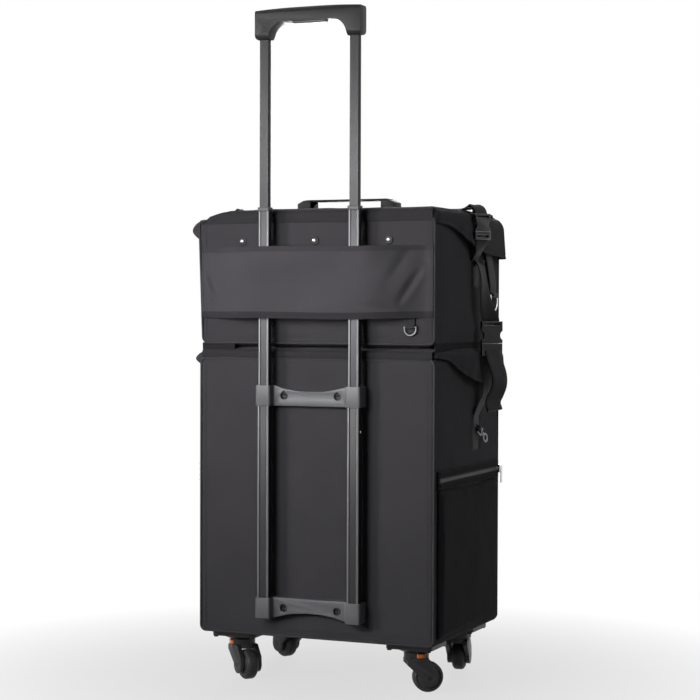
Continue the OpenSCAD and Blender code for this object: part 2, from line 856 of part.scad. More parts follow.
// A metal ring that hangs below its bar: the bar along Y at the origin, two legs and a half round
module hanging_ring(half, leg, wire) {
    rotate([90, 0, 0]) cylinder(r = wire, h = 2 * half, center = true, $fn = 24);
    for (s = [-1, 1]) {
        translate([0, s * half, 0]) sphere(wire, $fn = 24);
        translate([0, s * half, -leg]) cylinder(r = wire, h = leg, $fn = 24);
    }
    translate([0, 0, -leg]) rotate([0, 90, 0]) rotate([0, 0, -90])
        rotate_extrude(angle = 180, $fn = 64) translate([half, 0]) circle(wire, $fn = 24);
}

module side_ring_right() {
    color(steel) translate([side_x + loop_out, back_y - ring_in, ring_z])
        hanging_ring(ring_half, ring_leg, ring_wire);
}

module side_ring_left() {
    mirror([1, 0, 0]) side_ring_right();
}

module d_ring() {
    color(steel) translate([-ring_tab_x, back_y + loop_out - 0.8, ring_tab_z]) rotate([0, 0, 90])
        hanging_ring(d_half, d_leg, d_wire);
}

// The lower half of each joining strap, with its hanging tail
module join_straps_lower() {
    z0 = join_top - join_female_h - join_male_h - 2 * near;
    x_low = side_x + web_t / 2;
    x_out = skirt_x + 2.4;
    y = back_y - low_strap_in;
    hang = lower_drop - 10;
    lean = hang + 16;
    fold = 9;
    dip = 12;
    color(web_black) both_sides() {
        web([[join_buckle_x - 4, z0], [x_out, z0 - dip], [x_out, z0 - hang],
             [side_x + 4, low_tab_top + 6], [x_low, low_tab_top]],
            [[y, z0 + 5], [y, z0 - hang], [y + dip, z0 - lean], [back_y - low_tab_in, low_tab_top]]);
        translate([join_buckle_x + 5, back_y - join_buckle_in - 5, z0]) rotate([0, 0, join_buckle_turn]) {
            block([-web_t / 2, -web_w / 2, -tail_len], [web_t / 2, web_w / 2, 0]);
            block([-web_t * 1.5, -web_w / 2, -tail_len], [web_t * 1.5, web_w / 2, fold - tail_len]);
        }
    }
}

// The sewn patch on the lower bag's side that the joining strap and the hook are held by
module hook_tabs() {
    color(web_black) both_sides() {
        block([side_x, back_y - low_tab_in - low_tab_half, low_tab_top - low_tab_h],
              [side_x + web_t + 0.6, back_y - low_tab_in + low_tab_half, low_tab_top - 3 * near]);
        translate([side_x + hook_out, back_y - hook_in, hook_bar_z]) rotate([90 - hook_lean, 0, 0])
            tunnel(2 * (hook_half - hook_wire), loop_out + 0.2, loop_bore);
    }
}

// A swivel hook: an eye in the web loop, a barrel, and a hook with its gate
module strap_hook_right() {
    bar_low = -hook_leg - 1;
    ring_low = bar_low - hook_barrel_h - hook_r;
    color(steel) translate([side_x + hook_out, back_y - hook_in, hook_bar_z])
        rotate([-hook_lean, 0, 0]) rotate([0, -hook_stand, 0]) {
        rotate([90, 0, 0]) cylinder(r = hook_wire, h = 2 * hook_half, center = true, $fn = 24);
        for (s = [-1, 1]) translate([0, s * hook_half, 0]) {
            sphere(hook_wire, $fn = 24);
            translate([0, 0, -hook_leg]) cylinder(r = hook_wire, h = hook_leg, $fn = 24);
        }
        translate([0, 0, bar_low]) rotate([90, 0, 0])
            cylinder(r = hook_wire, h = 2 * (hook_half + hook_wire), center = true, $fn = 24);
        translate([0, 0, bar_low - hook_barrel_h]) cylinder(r = hook_barrel_r, h = hook_barrel_h, $fn = 32);
        translate([0, 0, ring_low]) rotate([0, 90, 0])
            rotate_extrude($fn = 64) translate([hook_r, 0]) circle(hook_wire + 0.4, $fn = 24);
        translate([0, -hook_r, ring_low - 1]) sphere(hook_ball_r, $fn = 24);
    }
}

module strap_hook_left() {
    mirror([1, 0, 0]) strap_hook_right();
}

// Top carry handle

module handle_caps() {
    z0 = upper_lid_z + upper_crown;
    y = back_y - handle_in;
    slot_w = web_w + 1.4;
    x_in = handle_half - cap_l;
    x_roof = handle_half - cap_wall - strap_foot;
    color(plastic) both_sides() difference() {
        across_y(y, cap_w) polygon([[x_in, z0], [handle_half, z0], [handle_half, z0 + cap_h - cap_slope],
            [handle_half - 2 * cap_slope, z0 + cap_h], [x_in, z0 + cap_h]]);
        block([x_in - 1, y - slot_w / 2, z0 + cap_floor],
              [handle_half - cap_wall, y + slot_w / 2, z0 + cap_h - cap_slope]);
        block([x_in - 1, y - slot_w / 2, z0 + cap_floor], [x_roof, y + slot_w / 2, z0 + cap_h + 1]);
    }
}

module carry_handle() {
    z0 = upper_lid_z + upper_crown + cap_floor + near + strap_t / 2;
    y = back_y - handle_in;
    end_x = handle_half - cap_wall - 0.6;
    bend_x = handle_half - cap_wall - strap_foot - strap_t / 2 - 0.7;
    slope = 2;
    color(plastic) across_y(y, web_w) ribbon(
        [[-end_x, z0], [-bend_x, z0], [-bend_x + slope, z0 + strap_rise], [bend_x - slope, z0 + strap_rise],
         [bend_x, z0], [end_x, z0]], strap_t);
}

// Sliding stages, grip and lock

module mid_tubes() {
    color(rail_grey) at_rails()
        tube(mid_w, mid_dp, bracket_top - mid_overlap, mid_top - collar_lip - seat_fit, 0);
}

module mid_collars() {
    color(plastic) at_rails() difference() {
        round_prism(mid_w + 2 * collar_wall, mid_dp + 2 * collar_wall, tube_r,
                    mid_top - collar_h, mid_top, 0, rail_y);
        round_prism(mid_w + 2 * seat_fit, mid_dp + 2 * seat_fit, tube_r, mid_top - collar_h - 1,
                    mid_top - collar_lip, 0, rail_y);
        round_prism(top_w + 2 * slide_fit, top_dp + 2 * slide_fit, top_tube_r,
                    mid_top - collar_h - 1, mid_top + 1, 0, rail_y);
    }
}

module top_tubes() {
    color(rail_grey) at_rails() difference() {
        round_prism(top_w, top_dp, top_tube_r, mid_top - top_overlap, grip_z + socket_h, 0, rail_y);
        round_prism(top_w - 2 * tube_wall, top_dp - 2 * tube_wall, top_tube_r / 2, mid_top - top_overlap - 1,
                    grip_z + socket_h + 1, 0, rail_y);
    }
}

module grip_outline() {
    crown_r = (grip_w * grip_w / 4 + grip_crown * grip_crown) / (2 * grip_crown);
    arch_w = grip_w - 2 * leg_w;
    difference() {
        intersection() {
            translate([0, grip_z + grip_h / 2]) round_rect(grip_w, grip_h, 4.5);
            translate([0, grip_z + grip_h - crown_r]) circle(crown_r, $fn = 720);
        }
        translate([0, grip_z + arch_h / 2 - arch_h]) round_rect(arch_w, 3 * arch_h, arch_h - 2);
    }
}

module grip() {
    color(plastic) difference() {
        intersection() {
            across_y(rail_y, grip_dp + 2) grip_outline();
            across_x(0, grip_w + 2) translate([rail_y, grip_z + grip_h / 2]) round_rect(grip_dp, grip_h, 9);
        }
        at_rails() round_prism(top_w + 2 * seat_fit, top_dp + 2 * seat_fit, top_tube_r,
                               grip_z - 1, grip_z + socket_h, 0, rail_y);
        at_rails() round_prism(7, 7, 2, grip_z, channel_z + link_rise, 0, rail_y);
        block([-rail_gap / 2 - 6, rail_y - 3.4, channel_z], [rail_gap / 2 + 6, rail_y + 3.4, channel_z + channel_h]);
        block([-button_w / 2 - near, rail_y - 6.3, grip_z + arch_h - 8],
              [button_w / 2 + near, rail_y + 6.3, channel_z + channel_h + spring_room]);
    }
}

module grip_button() {
    low = grip_z + arch_h - button_proud;
    color(plastic) across_y(rail_y, 12) translate([0, low]) difference() {
        translate([-button_w / 2, 0]) square([button_w, channel_z + link_rise - low]);
        for (s = [-1, 1]) translate([s * button_w / 2, 0]) rotate([0, 0, 45]) square(3, center = true);
    }
}

// The bar and the two long rods that the button lifts to free the lock pins
module lock_linkage() {
    color(steel) {
        block([-rail_gap / 2 - 2, rail_y - 2.6, channel_z + link_rise],
              [rail_gap / 2 + 2, rail_y + 2.6, channel_z + link_rise + link_h]);
        at_rails() translate([0, rail_y, mid_top - top_overlap + 6])
            cylinder(r = 1.6, h = channel_z + link_rise - mid_top + top_overlap - 6, $fn = 24);
    }
}

// The return spring between the bar and the roof of the grip, wound by a formula
spring_turns = 4;
spring_r = 2.4;
spring_wire = 0.45;
spring_low = channel_z + link_rise + link_h;
spring_high = channel_z + channel_h + spring_room;
spring_steps = 12;

function spring_ring(t) = [for (k = [0 : 5])
    let (a = 360 * spring_turns * t, b = 60 * k, r = spring_r + spring_wire * cos(b))
    [r * cos(a), rail_y + r * sin(a),
     spring_low + spring_wire + (spring_high - spring_low - 2 * spring_wire) * t + spring_wire * sin(b)]];

module button_spring() {
    n = spring_turns * spring_steps;
    points = [for (i = [0 : n], p = spring_ring(i / n)) p];
    sides = [for (i = [0 : n - 1], k = [0 : 5]) let (j = (k + 1) % 6)
        [i * 6 + k, i * 6 + j, (i + 1) * 6 + j, (i + 1) * 6 + k]];
    ends = [[for (k = [0 : 5]) k], [for (k = [5 : -1 : 0]) n * 6 + k]];
    color(steel) polyhedron(points, concat([for (f = sides) [f[0], f[3], f[2], f[1]]], ends));
}

lower_shell();
base_board();
back_board();
lower_divider();
outer_pockets();
pocket_zips();
zip_slider_left();
zip_slider_right();
zip_slider_front();
fixed_rails();
top_bracket();
bottom_bracket();
bracket_screws();
wheel_plates();
plate_screws();
join_straps_lower();
join_buckle_males();
hook_tabs();
strap_hook_left();
strap_hook_right();
lower_lid();
upper_shell();
rail_sleeve();
snap_studs();
rest_feet();
upper_dividers();
bag_straps();
lid_buckle_males();
join_buckle_females();
side_ring_left();
side_ring_right();
d_ring();
upper_lid();
lid_straps();
lid_buckle_females();
handle_caps();
carry_handle();
mid_tubes();
mid_collars();
top_tubes();
grip();
grip_button();
lock_linkage();
button_spring();
caster_fork(0);  // caster_fork_rl
caster_fork(1);  // caster_fork_rr
caster_fork(2);  // caster_fork_fl
caster_fork(3);  // caster_fork_fr
caster_axle(0);  // caster_axle_rl
caster_axle(1);  // caster_axle_rr
caster_axle(2);  // caster_axle_fl
caster_axle(3);  // caster_axle_fr
caster_wheel(0);  // caster_wheel_rl
caster_wheel(1);  // caster_wheel_rr
caster_wheel(2);  // caster_wheel_fl
caster_wheel(3);  // caster_wheel_fr
release_button(0);  // release_button_rl
release_button(1);  // release_button_rr
release_button(2);  // release_button_fl
release_button(3);  // release_button_fr
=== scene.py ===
"""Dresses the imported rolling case: cloth, webbing, moulded plastic, rails and small metal trims."""

import json
import math

import bmesh
import bpy
from bpy.props import FloatProperty, FloatVectorProperty, PointerProperty
from bpy.types import Operator, Panel, PropertyGroup
from mathutils import Matrix, Vector, noise

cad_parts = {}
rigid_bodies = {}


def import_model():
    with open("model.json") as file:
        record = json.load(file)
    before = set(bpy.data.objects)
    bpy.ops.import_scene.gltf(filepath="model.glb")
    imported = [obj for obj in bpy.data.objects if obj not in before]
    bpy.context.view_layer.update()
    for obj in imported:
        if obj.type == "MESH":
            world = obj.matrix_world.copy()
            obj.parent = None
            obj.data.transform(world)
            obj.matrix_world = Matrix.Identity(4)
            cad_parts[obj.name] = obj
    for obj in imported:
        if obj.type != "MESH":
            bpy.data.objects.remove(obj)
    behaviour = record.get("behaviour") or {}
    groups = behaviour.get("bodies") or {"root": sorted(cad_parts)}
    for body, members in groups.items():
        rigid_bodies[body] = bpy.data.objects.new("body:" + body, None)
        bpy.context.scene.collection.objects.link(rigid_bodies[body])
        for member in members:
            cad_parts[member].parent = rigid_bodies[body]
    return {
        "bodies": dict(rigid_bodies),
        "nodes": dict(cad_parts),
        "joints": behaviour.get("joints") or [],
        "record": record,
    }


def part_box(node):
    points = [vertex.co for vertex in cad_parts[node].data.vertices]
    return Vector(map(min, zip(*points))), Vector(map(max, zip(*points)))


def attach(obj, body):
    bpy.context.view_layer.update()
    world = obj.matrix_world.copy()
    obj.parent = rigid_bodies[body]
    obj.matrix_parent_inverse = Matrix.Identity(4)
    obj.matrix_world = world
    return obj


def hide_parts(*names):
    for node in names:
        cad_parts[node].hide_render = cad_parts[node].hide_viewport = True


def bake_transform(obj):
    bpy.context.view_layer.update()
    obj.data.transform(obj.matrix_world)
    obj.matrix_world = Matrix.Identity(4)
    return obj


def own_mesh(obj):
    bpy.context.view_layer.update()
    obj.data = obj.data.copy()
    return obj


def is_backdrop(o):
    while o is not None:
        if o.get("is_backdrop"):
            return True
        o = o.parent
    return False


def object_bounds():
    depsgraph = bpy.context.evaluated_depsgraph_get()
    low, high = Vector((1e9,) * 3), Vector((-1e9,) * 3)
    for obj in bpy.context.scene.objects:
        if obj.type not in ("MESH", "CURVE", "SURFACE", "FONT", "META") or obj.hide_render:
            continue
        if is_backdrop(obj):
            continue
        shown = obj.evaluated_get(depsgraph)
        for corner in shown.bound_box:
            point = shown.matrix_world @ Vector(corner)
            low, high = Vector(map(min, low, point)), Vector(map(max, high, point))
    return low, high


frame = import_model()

bl_info = {
    "name": "Rolling case looks",
    "version": (1, 0, 0),
    "blender": (4, 5, 0),
    "location": "View3D > Sidebar > Case",
    "description": "Dresses a packed rolling case in cloth, webbing, plastic and metal",
    "category": "Object",
}

CAD_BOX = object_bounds()

# Places that the CAD nodes give
LOWER_LOW, LOWER_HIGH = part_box("lower_shell")
UPPER_LOW, UPPER_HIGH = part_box("upper_shell")
LOWER_LID_LOW, LOWER_LID_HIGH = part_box("lower_lid")
UPPER_LID_LOW, UPPER_LID_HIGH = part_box("upper_lid")
BACK_Y = LOWER_HIGH.y
FRONT_Y = LOWER_LOW.y
MID_Y = (BACK_Y + FRONT_Y) / 2
SIDE_X = LOWER_HIGH.x
HALF_Y = (BACK_Y - FRONT_Y) / 2
FLOOR_Z = LOWER_LOW.z
LOWER_TOP = 0.490
LOWER_LID_Z = LOWER_HIGH.z
UPPER_Z = UPPER_LOW.z
UPPER_TOP = 0.696
UPPER_LID_Z = UPPER_HIGH.z
RAIL_Y = (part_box("fixed_rails")[0].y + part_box("fixed_rails")[1].y) / 2
RAIL_X = 0.072
PUFF_FRAMES = 20


class CaseColours(PropertyGroup):
    """Colours of the case, as linear values"""
    nylon: FloatVectorProperty(name="Nylon", description="Colour of the bags' cloth", subtype="COLOR",
                               size=3, min=0, max=1, default=(0.040, 0.038, 0.0415))
    webbing: FloatVectorProperty(name="Webbing", description="Colour of the straps", subtype="COLOR",
                                 size=3, min=0, max=1, default=(0.019, 0.0185, 0.020))
    plastic: FloatVectorProperty(name="Plastic", description="Colour of the moulded parts", subtype="COLOR",
                                 size=3, min=0, max=1, default=(0.040, 0.040, 0.043))
    rail: FloatVectorProperty(name="Rails", description="Colour of the anodised tubes", subtype="COLOR",
                              size=3, min=0, max=1, default=(0.060, 0.060, 0.063))
    steel: FloatVectorProperty(name="Steel", description="Colour of plated rings, hooks and studs",
                               subtype="COLOR", size=3, min=0, max=1, default=(0.70, 0.70, 0.72))
    orange: FloatVectorProperty(name="Release buttons", description="Colour of the caster release buttons",
                                subtype="COLOR", size=3, min=0, max=1, default=(0.80, 0.20, 0.045))
    rubber: FloatVectorProperty(name="Rubber", description="Colour of the wheels' tread and the feet",
                                subtype="COLOR", size=3, min=0, max=1, default=(0.030, 0.030, 0.032))
    lining: FloatVectorProperty(name="Lining", description="Colour of the cloth over boards and dividers",
                                subtype="COLOR", size=3, min=0, max=1, default=(0.085, 0.085, 0.09))


class CaseSizes(PropertyGroup):
    """Sizes of the sewn details, in metres"""
    piping: FloatProperty(name="Piping", description="Radius of the corded seams", unit="LENGTH",
                          min=0.0008, max=0.004, default=0.0017)
    stitch: FloatProperty(name="Stitch", description="Length of one stitch", unit="LENGTH",
                          min=0.001, max=0.006, default=0.0026)
    stitch_gap: FloatProperty(name="Stitch gap", description="Distance from stitch to stitch", unit="LENGTH",
                              min=0.002, max=0.01, default=0.0038)
    thread: FloatProperty(name="Thread", description="Radius of the sewing thread", unit="LENGTH",
                          min=0.0001, max=0.001, default=0.0003)
    yarn: FloatProperty(name="Yarn", description="Width of one yarn in the nylon's weave", unit="LENGTH",
                        min=0.0002, max=0.003, default=0.0009)
    lid_flare: FloatProperty(name="Lid flare", description="How far the left lid corners curl outwards",
                             unit="LENGTH", min=0, max=0.015, default=0.010)
    tooth: FloatProperty(name="Zip tooth", description="Distance from tooth to tooth of the zips",
                         unit="LENGTH", min=0.001, max=0.005, default=0.0022)
    bevel: FloatProperty(name="Bevel", description="Rounding of the moulded parts' edges", unit="LENGTH",
                         min=0.0001, max=0.002, default=0.0006)


# Finishes

class Value:
    """A number or colour that varies over a surface; arithmetic on it adds Math nodes."""

    def __init__(self, finish, socket):
        self.finish, self.socket = finish, socket

    def math(self, operation, *others, swap=False):
        terms = [self, *others]
        if swap:
            terms.reverse()
        return self.finish.add("ShaderNodeMath", {"operation": operation}, dict(enumerate(terms)))

    def __add__(self, other):
        return self.math("ADD", other)

    def __sub__(self, other):
        return self.math("SUBTRACT", other)

    def __rsub__(self, other):
        return self.math("SUBTRACT", other, swap=True)

    def __mul__(self, other):
        return self.math("MULTIPLY", other)

    def __truediv__(self, other):
        return self.math("DIVIDE", other)

    def __pow__(self, other):
        return self.math("POWER", other)

    def __abs__(self):
        return self.math("ABSOLUTE")

    __radd__ = __add__
    __rmul__ = __mul__

    def sine(self):
        return self.math("SINE")

    def above(self, other):
        return self.math("GREATER_THAN", other)

    def floor(self):
        return self.math("FLOOR")

    def clamp(self):
        return self.math("MINIMUM", 1.0).math("MAXIMUM", 0.0)


class Finish:
    """A material that is built from named sockets and expressions."""

    def __init__(self, name, **fixed):
        self.material = bpy.data.materials.new(name)
        self.material.use_nodes = True
        self.tree = self.material.node_tree
        self.tree.nodes.clear()
        self.out = self.tree.nodes.new("ShaderNodeOutputMaterial")
        self.shader = self.tree.nodes.new("ShaderNodeBsdfPrincipled")
        self.tree.links.new(self.shader.outputs["BSDF"], self.out.inputs["Surface"])
        for socket, value in fixed.items():
            self.set(socket.replace("_", " ").title().replace("Ior", "IOR"), value)

    def set(self, socket, value):
        self.join(value, self.shader.inputs[socket])

    def join(self, value, socket):
        if isinstance(value, Value):
            self.tree.links.new(value.socket, socket)
        elif socket.type == "RGBA" and len(value) == 3:
            socket.default_value = (*value, 1.0)
        else:
            socket.default_value = value

    def add(self, kind, settings=None, inputs=None, output=0):
        node = self.tree.nodes.new(kind)
        for key, value in (settings or {}).items():
            if key == "stops":
                while len(node.color_ramp.elements) < len(value):
                    node.color_ramp.elements.new(1.0)
                for stop, (place, tone) in zip(node.color_ramp.elements, value):
                    stop.position, stop.color = place, (tone, tone, tone, 1.0)
            else:
                setattr(node, key, value)
        for key, value in (inputs or {}).items():
            self.join(value, node.inputs[key])
        return Value(self, node.outputs[output])

    def place(self, source="Object", scale=(1, 1, 1)):
        coords = self.add("ShaderNodeTexCoord", output=source)
        return self.add("ShaderNodeMapping", inputs={"Vector": coords, "Scale": scale})

    def split(self, vector):
        node = self.tree.nodes.new("ShaderNodeSeparateXYZ")
        self.join(vector, node.inputs[0])
        return [Value(self, output) for output in node.outputs]

    def noise(self, where, scale, detail=3.0, roughness=0.55):
        return self.add("ShaderNodeTexNoise", {}, {"Vector": where, "Scale": scale, "Detail": detail,
                                                   "Roughness": roughness})

    def ramp(self, value, *stops):
        return self.add("ShaderNodeValToRGB", {"stops": stops}, {"Fac": value})

    def tint(self, factor, low, high):
        return self.add("ShaderNodeMix", {"data_type": "RGBA"}, {0: factor, 6: low, 7: high}, output=2)

    def bump(self, height, strength, distance, under=None):
        inputs = {"Height": height, "Strength": strength, "Distance": distance}
        if under is not None:
            inputs["Normal"] = under
        return self.add("ShaderNodeBump", {}, inputs)


def shade(colour, factor):
    return tuple(min(1.0, c * factor) for c in colour)


def woven(name, colour, yarn, roughness=0.72, sheen=0.04, slub=0.22):
    """Plain-woven cloth on the piece's own UV map, in metres."""
    f = Finish(name, roughness=roughness, sheen_weight=sheen, sheen_roughness=0.45,
               sheen_tint=(0.9, 0.9, 1.0), specular_ior_level=0.03)
    where = f.place("UV")
    u, v, _ = f.split(where)
    turn = math.pi / yarn
    warp, weft = (u * turn).sine(), (v * turn).sine()
    over = (warp * weft).above(0.0)
    weave = over * abs(warp) + (1.0 - over) * abs(weft)
    blotch = f.noise(where, 9.0, 4.0)
    grain = f.noise(where, 1400.0, 2.0)
    tone = weave * 0.30 + (blotch - 0.5) * 0.9 + 0.225 + grain * 0.25
    f.set("Base Color", f.tint(tone.clamp(), shade(colour, 1.0 - slub), shade(colour, 1.0 + slub)))
    f.set("Roughness", (blotch * 0.16 + (roughness - 0.08)).clamp())
    soft = f.bump(f.noise(where, 45.0, 3.0), 0.10, 0.004)
    f.set("Normal", f.bump(weave, 0.35, yarn * 0.3, soft))
    return f.material


def ribbed(name, colour, rib=0.0016, across=0.00045):
    """Webbing: ribs along its length, with the fill yarns showing between them."""
    f = Finish(name, roughness=0.6, sheen_weight=0.05, sheen_roughness=0.4, specular_ior_level=0.12)
    where = f.place("UV")
    u, v, _ = f.split(where)
    ribs = abs((u * (math.pi / rib)).sine())
    fill = abs((v * (math.pi / across) + (u / rib).floor() * (math.pi / 2)).sine())
    height = ribs * 0.7 + fill * 0.3
    f.set("Base Color", f.tint((height * 0.8 + f.noise(where, 60.0) * 0.4).clamp(),
                               shade(colour, 0.5), shade(colour, 1.7)))
    f.set("Roughness", (0.75 - height * 0.22).clamp())
    f.set("Normal", f.bump(height, 0.6, 0.0005))
    return f.material


def moulded(name, colour, roughness=0.42, grain=0.5, gloss=0.3):
    """Moulded plastic with a fine spark-eroded grain and rubbed high spots."""
    f = Finish(name, roughness=roughness, specular_ior_level=gloss)
    where = f.place()
    fine = f.noise(where, 2600.0, 2.0)
    broad = f.noise(where, 35.0, 4.0)
    f.set("Base Color", f.tint((broad * 0.7 + fine * 0.3).clamp(), shade(colour, 0.78), shade(colour, 1.25)))
    f.set("Roughness", (broad * 0.22 + (roughness - 0.11)).clamp())
    f.set("Normal", f.bump(fine, grain * 0.35, 0.0002))
    return f.material


def drawn_metal(name, colour, roughness=0.42, metallic=0.25, along=(900.0, 900.0, 6.0), half=0.0, edge=4.0):
    """Drawn tube: fine lines along its length under an anodised skin, a painted highlight on the ribs near each edge,
    and painted shade on the flanks.
    """
    f = Finish(name, metallic=metallic, roughness=roughness, specular_ior_level=0.2)
    lines = f.noise(f.place(scale=along), 1.0, 3.0)
    smudge = f.noise(f.place(), 14.0, 4.0)
    tone = (lines * 0.5 + smudge * 0.5).clamp()
    tone = f.tint(tone, shade(colour, 0.80), shade(colour, 1.22))
    if half:
        across = abs(abs(f.split(f.place())[0]) - RAIL_X) / half
        # painted highlight: the outer part of each tube's face, near its edges, is tinted lighter by the edge factor
        rib = ((across - 0.60) * 14.0).clamp()
        tone = f.tint(rib, tone, shade(colour, edge))
        # painted shade: faces turned towards ±X are tinted nearly black
        facing = abs(f.split(f.add("ShaderNodeTexCoord", output="Normal"))[0])
        tone = f.tint(((facing - 0.60) * 5.0).clamp(), tone, shade(colour, 0.12))
    f.set("Base Color", tone)
    f.set("Roughness", (lines * 0.10 + smudge * 0.16 + (roughness - 0.13)).clamp())
    f.set("Normal", f.bump(lines, 0.12, 0.0001))
    return f.material


def plated(name, colour, roughness=0.2):
    """Plated metal with small scratches and handling marks."""
    f = Finish(name, metallic=1.0, roughness=roughness)
    where = f.place()
    marks = f.noise(where, 220.0, 5.0)
    f.set("Base Color", f.tint(marks, shade(colour, 0.72), shade(colour, 1.08)))
    f.set("Roughness", (marks * 0.3 + (roughness - 0.12)).clamp())
    f.set("Normal", f.bump(f.noise(where, 700.0, 2.0), 0.08, 0.0002))
    return f.material


def rolled_rubber(name, colour):
    """Rubber or soft tread with dust in its pores."""
    f = Finish(name, roughness=0.62, specular_ior_level=0.2)
    where = f.place()
    dust = f.ramp(f.noise(where, 160.0, 5.0), (0.45, 0.0), (0.8, 1.0))
    f.set("Base Color", f.tint(dust, colour, shade(colour, 1.9)))
    f.set("Roughness", (dust * 0.2 + 0.5).clamp())
    f.set("Normal", f.bump(f.noise(where, 900.0, 3.0), 0.2, 0.0003))
    return f.material


def half_width(node):
    """Half the width of one tube of a pair."""
    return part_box(node)[1].x - RAIL_X


_made = {}


def finish(kind):
    """The material of one kind, made once."""
    if kind in _made:
        return _made[kind]
    colours, sizes = bpy.context.scene.case_colours, bpy.context.scene.case_sizes
    nylon, web = tuple(colours.nylon), tuple(colours.webbing)
    recipes = {
        "nylon": lambda: woven("Coated nylon", nylon, sizes.yarn),
        "pocket": lambda: woven("Pocket nylon", shade(nylon, 0.46), sizes.yarn, 0.78),
        "sleeve": lambda: woven("Sleeve nylon", shade(nylon, 1.25), sizes.yarn, 0.62),
        "trim": lambda: woven("Binding tape", shade(nylon, 1.15), 0.0005, 0.6),
        # painted shade: a darker copy of the nylon, for the hinge cloth and the sleeve's lower hem
        "shade_binding": lambda: woven("Hinge cloth in painted shade", shade(nylon, 0.70), sizes.yarn),
        "thread": lambda: woven("Thread", shade(nylon, 0.9), 0.0004, 0.55),
        "lining": lambda: woven("Lining cloth", tuple(colours.lining), 0.0006, 0.85),
        "webbing": lambda: ribbed("Ribbed webbing", web),
        # a copy of the webbing three times lighter, for the strap tails
        "lighter_webbing": lambda: ribbed("Lighter webbing", shade(web, 3.0)),
        "tape": lambda: ribbed("Zip tape", shade(web, 1.1), 0.0007, 0.0004),
        "plastic": lambda: moulded("Moulded plastic", tuple(colours.plastic)),
        "bracket": lambda: moulded("Bracket plastic", shade(colours.plastic, 1.95), 0.40, 0.35, 0.3),
        "grip": lambda: moulded("Grip plastic", shade(colours.plastic, 0.36), 0.42, 0.4, 0.15),
        "carry": lambda: moulded("Carry handle plastic", shade(colours.plastic, 0.22), 0.46, 0.3, 0.12),
        "buckle": lambda: moulded("Buckle plastic", shade(colours.plastic, 0.5), 0.30, 0.2, 0.25),
        # painted highlight: a much lighter, glossier copy of the plastic for the buckles' bevelled edges
        "buckle_highlight": lambda: moulded("Buckle edge painted highlight", shade(colours.plastic, 5.5), 0.25, 0.1, 0.6),
        "fork": lambda: moulded("Caster plastic", shade(colours.plastic, 0.6), 0.38, 0.5, 0.2),
        "orange": lambda: moulded("Orange plastic", tuple(colours.orange), 0.35, 0.15),
        # edge: how many times lighter the painted highlight on each tube's ribs is
        "outer_rail": lambda: drawn_metal("Outer rail", shade(colours.rail, 0.49), half=half_width("fixed_rails"), edge=4.6),
        "middle_rail": lambda: drawn_metal("Middle rail", shade(colours.rail, 0.98), half=half_width("mid_tubes"), edge=4.4),
        "top_rail": lambda: drawn_metal("Top rail", shade(colours.rail, 0.62), half=half_width("top_tubes"), edge=1.3),
        "black_metal": lambda: drawn_metal("Blackened steel", shade(colours.rail, 0.3), 0.4, 0.6),
        "steel": lambda: plated("Plated steel", tuple(colours.steel)),
        "dark_steel": lambda: plated("Dark plated steel", shade(colours.steel, 0.22), 0.32),
        "rubber": lambda: rolled_rubber("Black rubber", tuple(colours.rubber)),
    }
    _made[kind] = recipes[kind]()
    return _made[kind]


# Meshes

def box_uv(mesh):
    """UVs in metres, laid flat on each face's main direction."""
    layer = mesh.uv_layers.get("UVMap") or mesh.uv_layers.new(name="UVMap")
    for face in mesh.polygons:
        n = [abs(c) for c in face.normal]
        a, b = ((1, 2), (0, 2), (0, 1))[n.index(max(n))]
        for i in face.loop_indices:
            co = mesh.vertices[mesh.loops[i].vertex_index].co
            layer.data[i].uv = (co[a], co[b])


def smooth(mesh, angle=35.0):
    for face in mesh.polygons:
        face.use_smooth = True
    mesh.set_sharp_from_angle(angle=math.radians(angle))


def hold(obj, kind, body, slot, stands_for=()):
    """Gives a finished mesh its material and its body, and hides the CAD nodes it stands for; the slot is not used."""
    obj.data.materials.clear()
    obj.data.materials.append(finish(kind))
    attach(obj, body)
    if stands_for:
        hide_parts(*stands_for)
    return obj


def mesh_object(name, verts, faces, angle=35.0, uvs=None):
    mesh = bpy.data.meshes.new(name)
    mesh.from_pydata([tuple(v) for v in verts], [], faces)
    bm = bmesh.new()
    bm.from_mesh(mesh)
    bmesh.ops.recalc_face_normals(bm, faces=bm.faces)
    bm.to_mesh(mesh)
    bm.free()
    if uvs is None:
        box_uv(mesh)
    else:
        layer = mesh.uv_layers.new(name="UVMap")
        for loop in mesh.loops:
            layer.data[loop.index].uv = uvs[loop.vertex_index]
    smooth(mesh, angle)
    obj = bpy.data.objects.new(name, mesh)
    bpy.context.scene.collection.objects.link(obj)
    return obj


def loft(rings, base=0):
    """Faces between closed rings of equal length, with both ends shut."""
    n = len(rings[0])
    faces = [(base + r * n + i, base + r * n + (i + 1) % n, base + (r + 1) * n + (i + 1) % n, base + (r + 1) * n + i)
             for r in range(len(rings) - 1) for i in range(n)]
    faces.append(tuple(base + i for i in reversed(range(n))))
    faces.append(tuple(base + (len(rings) - 1) * n + i for i in range(n)))
    return faces


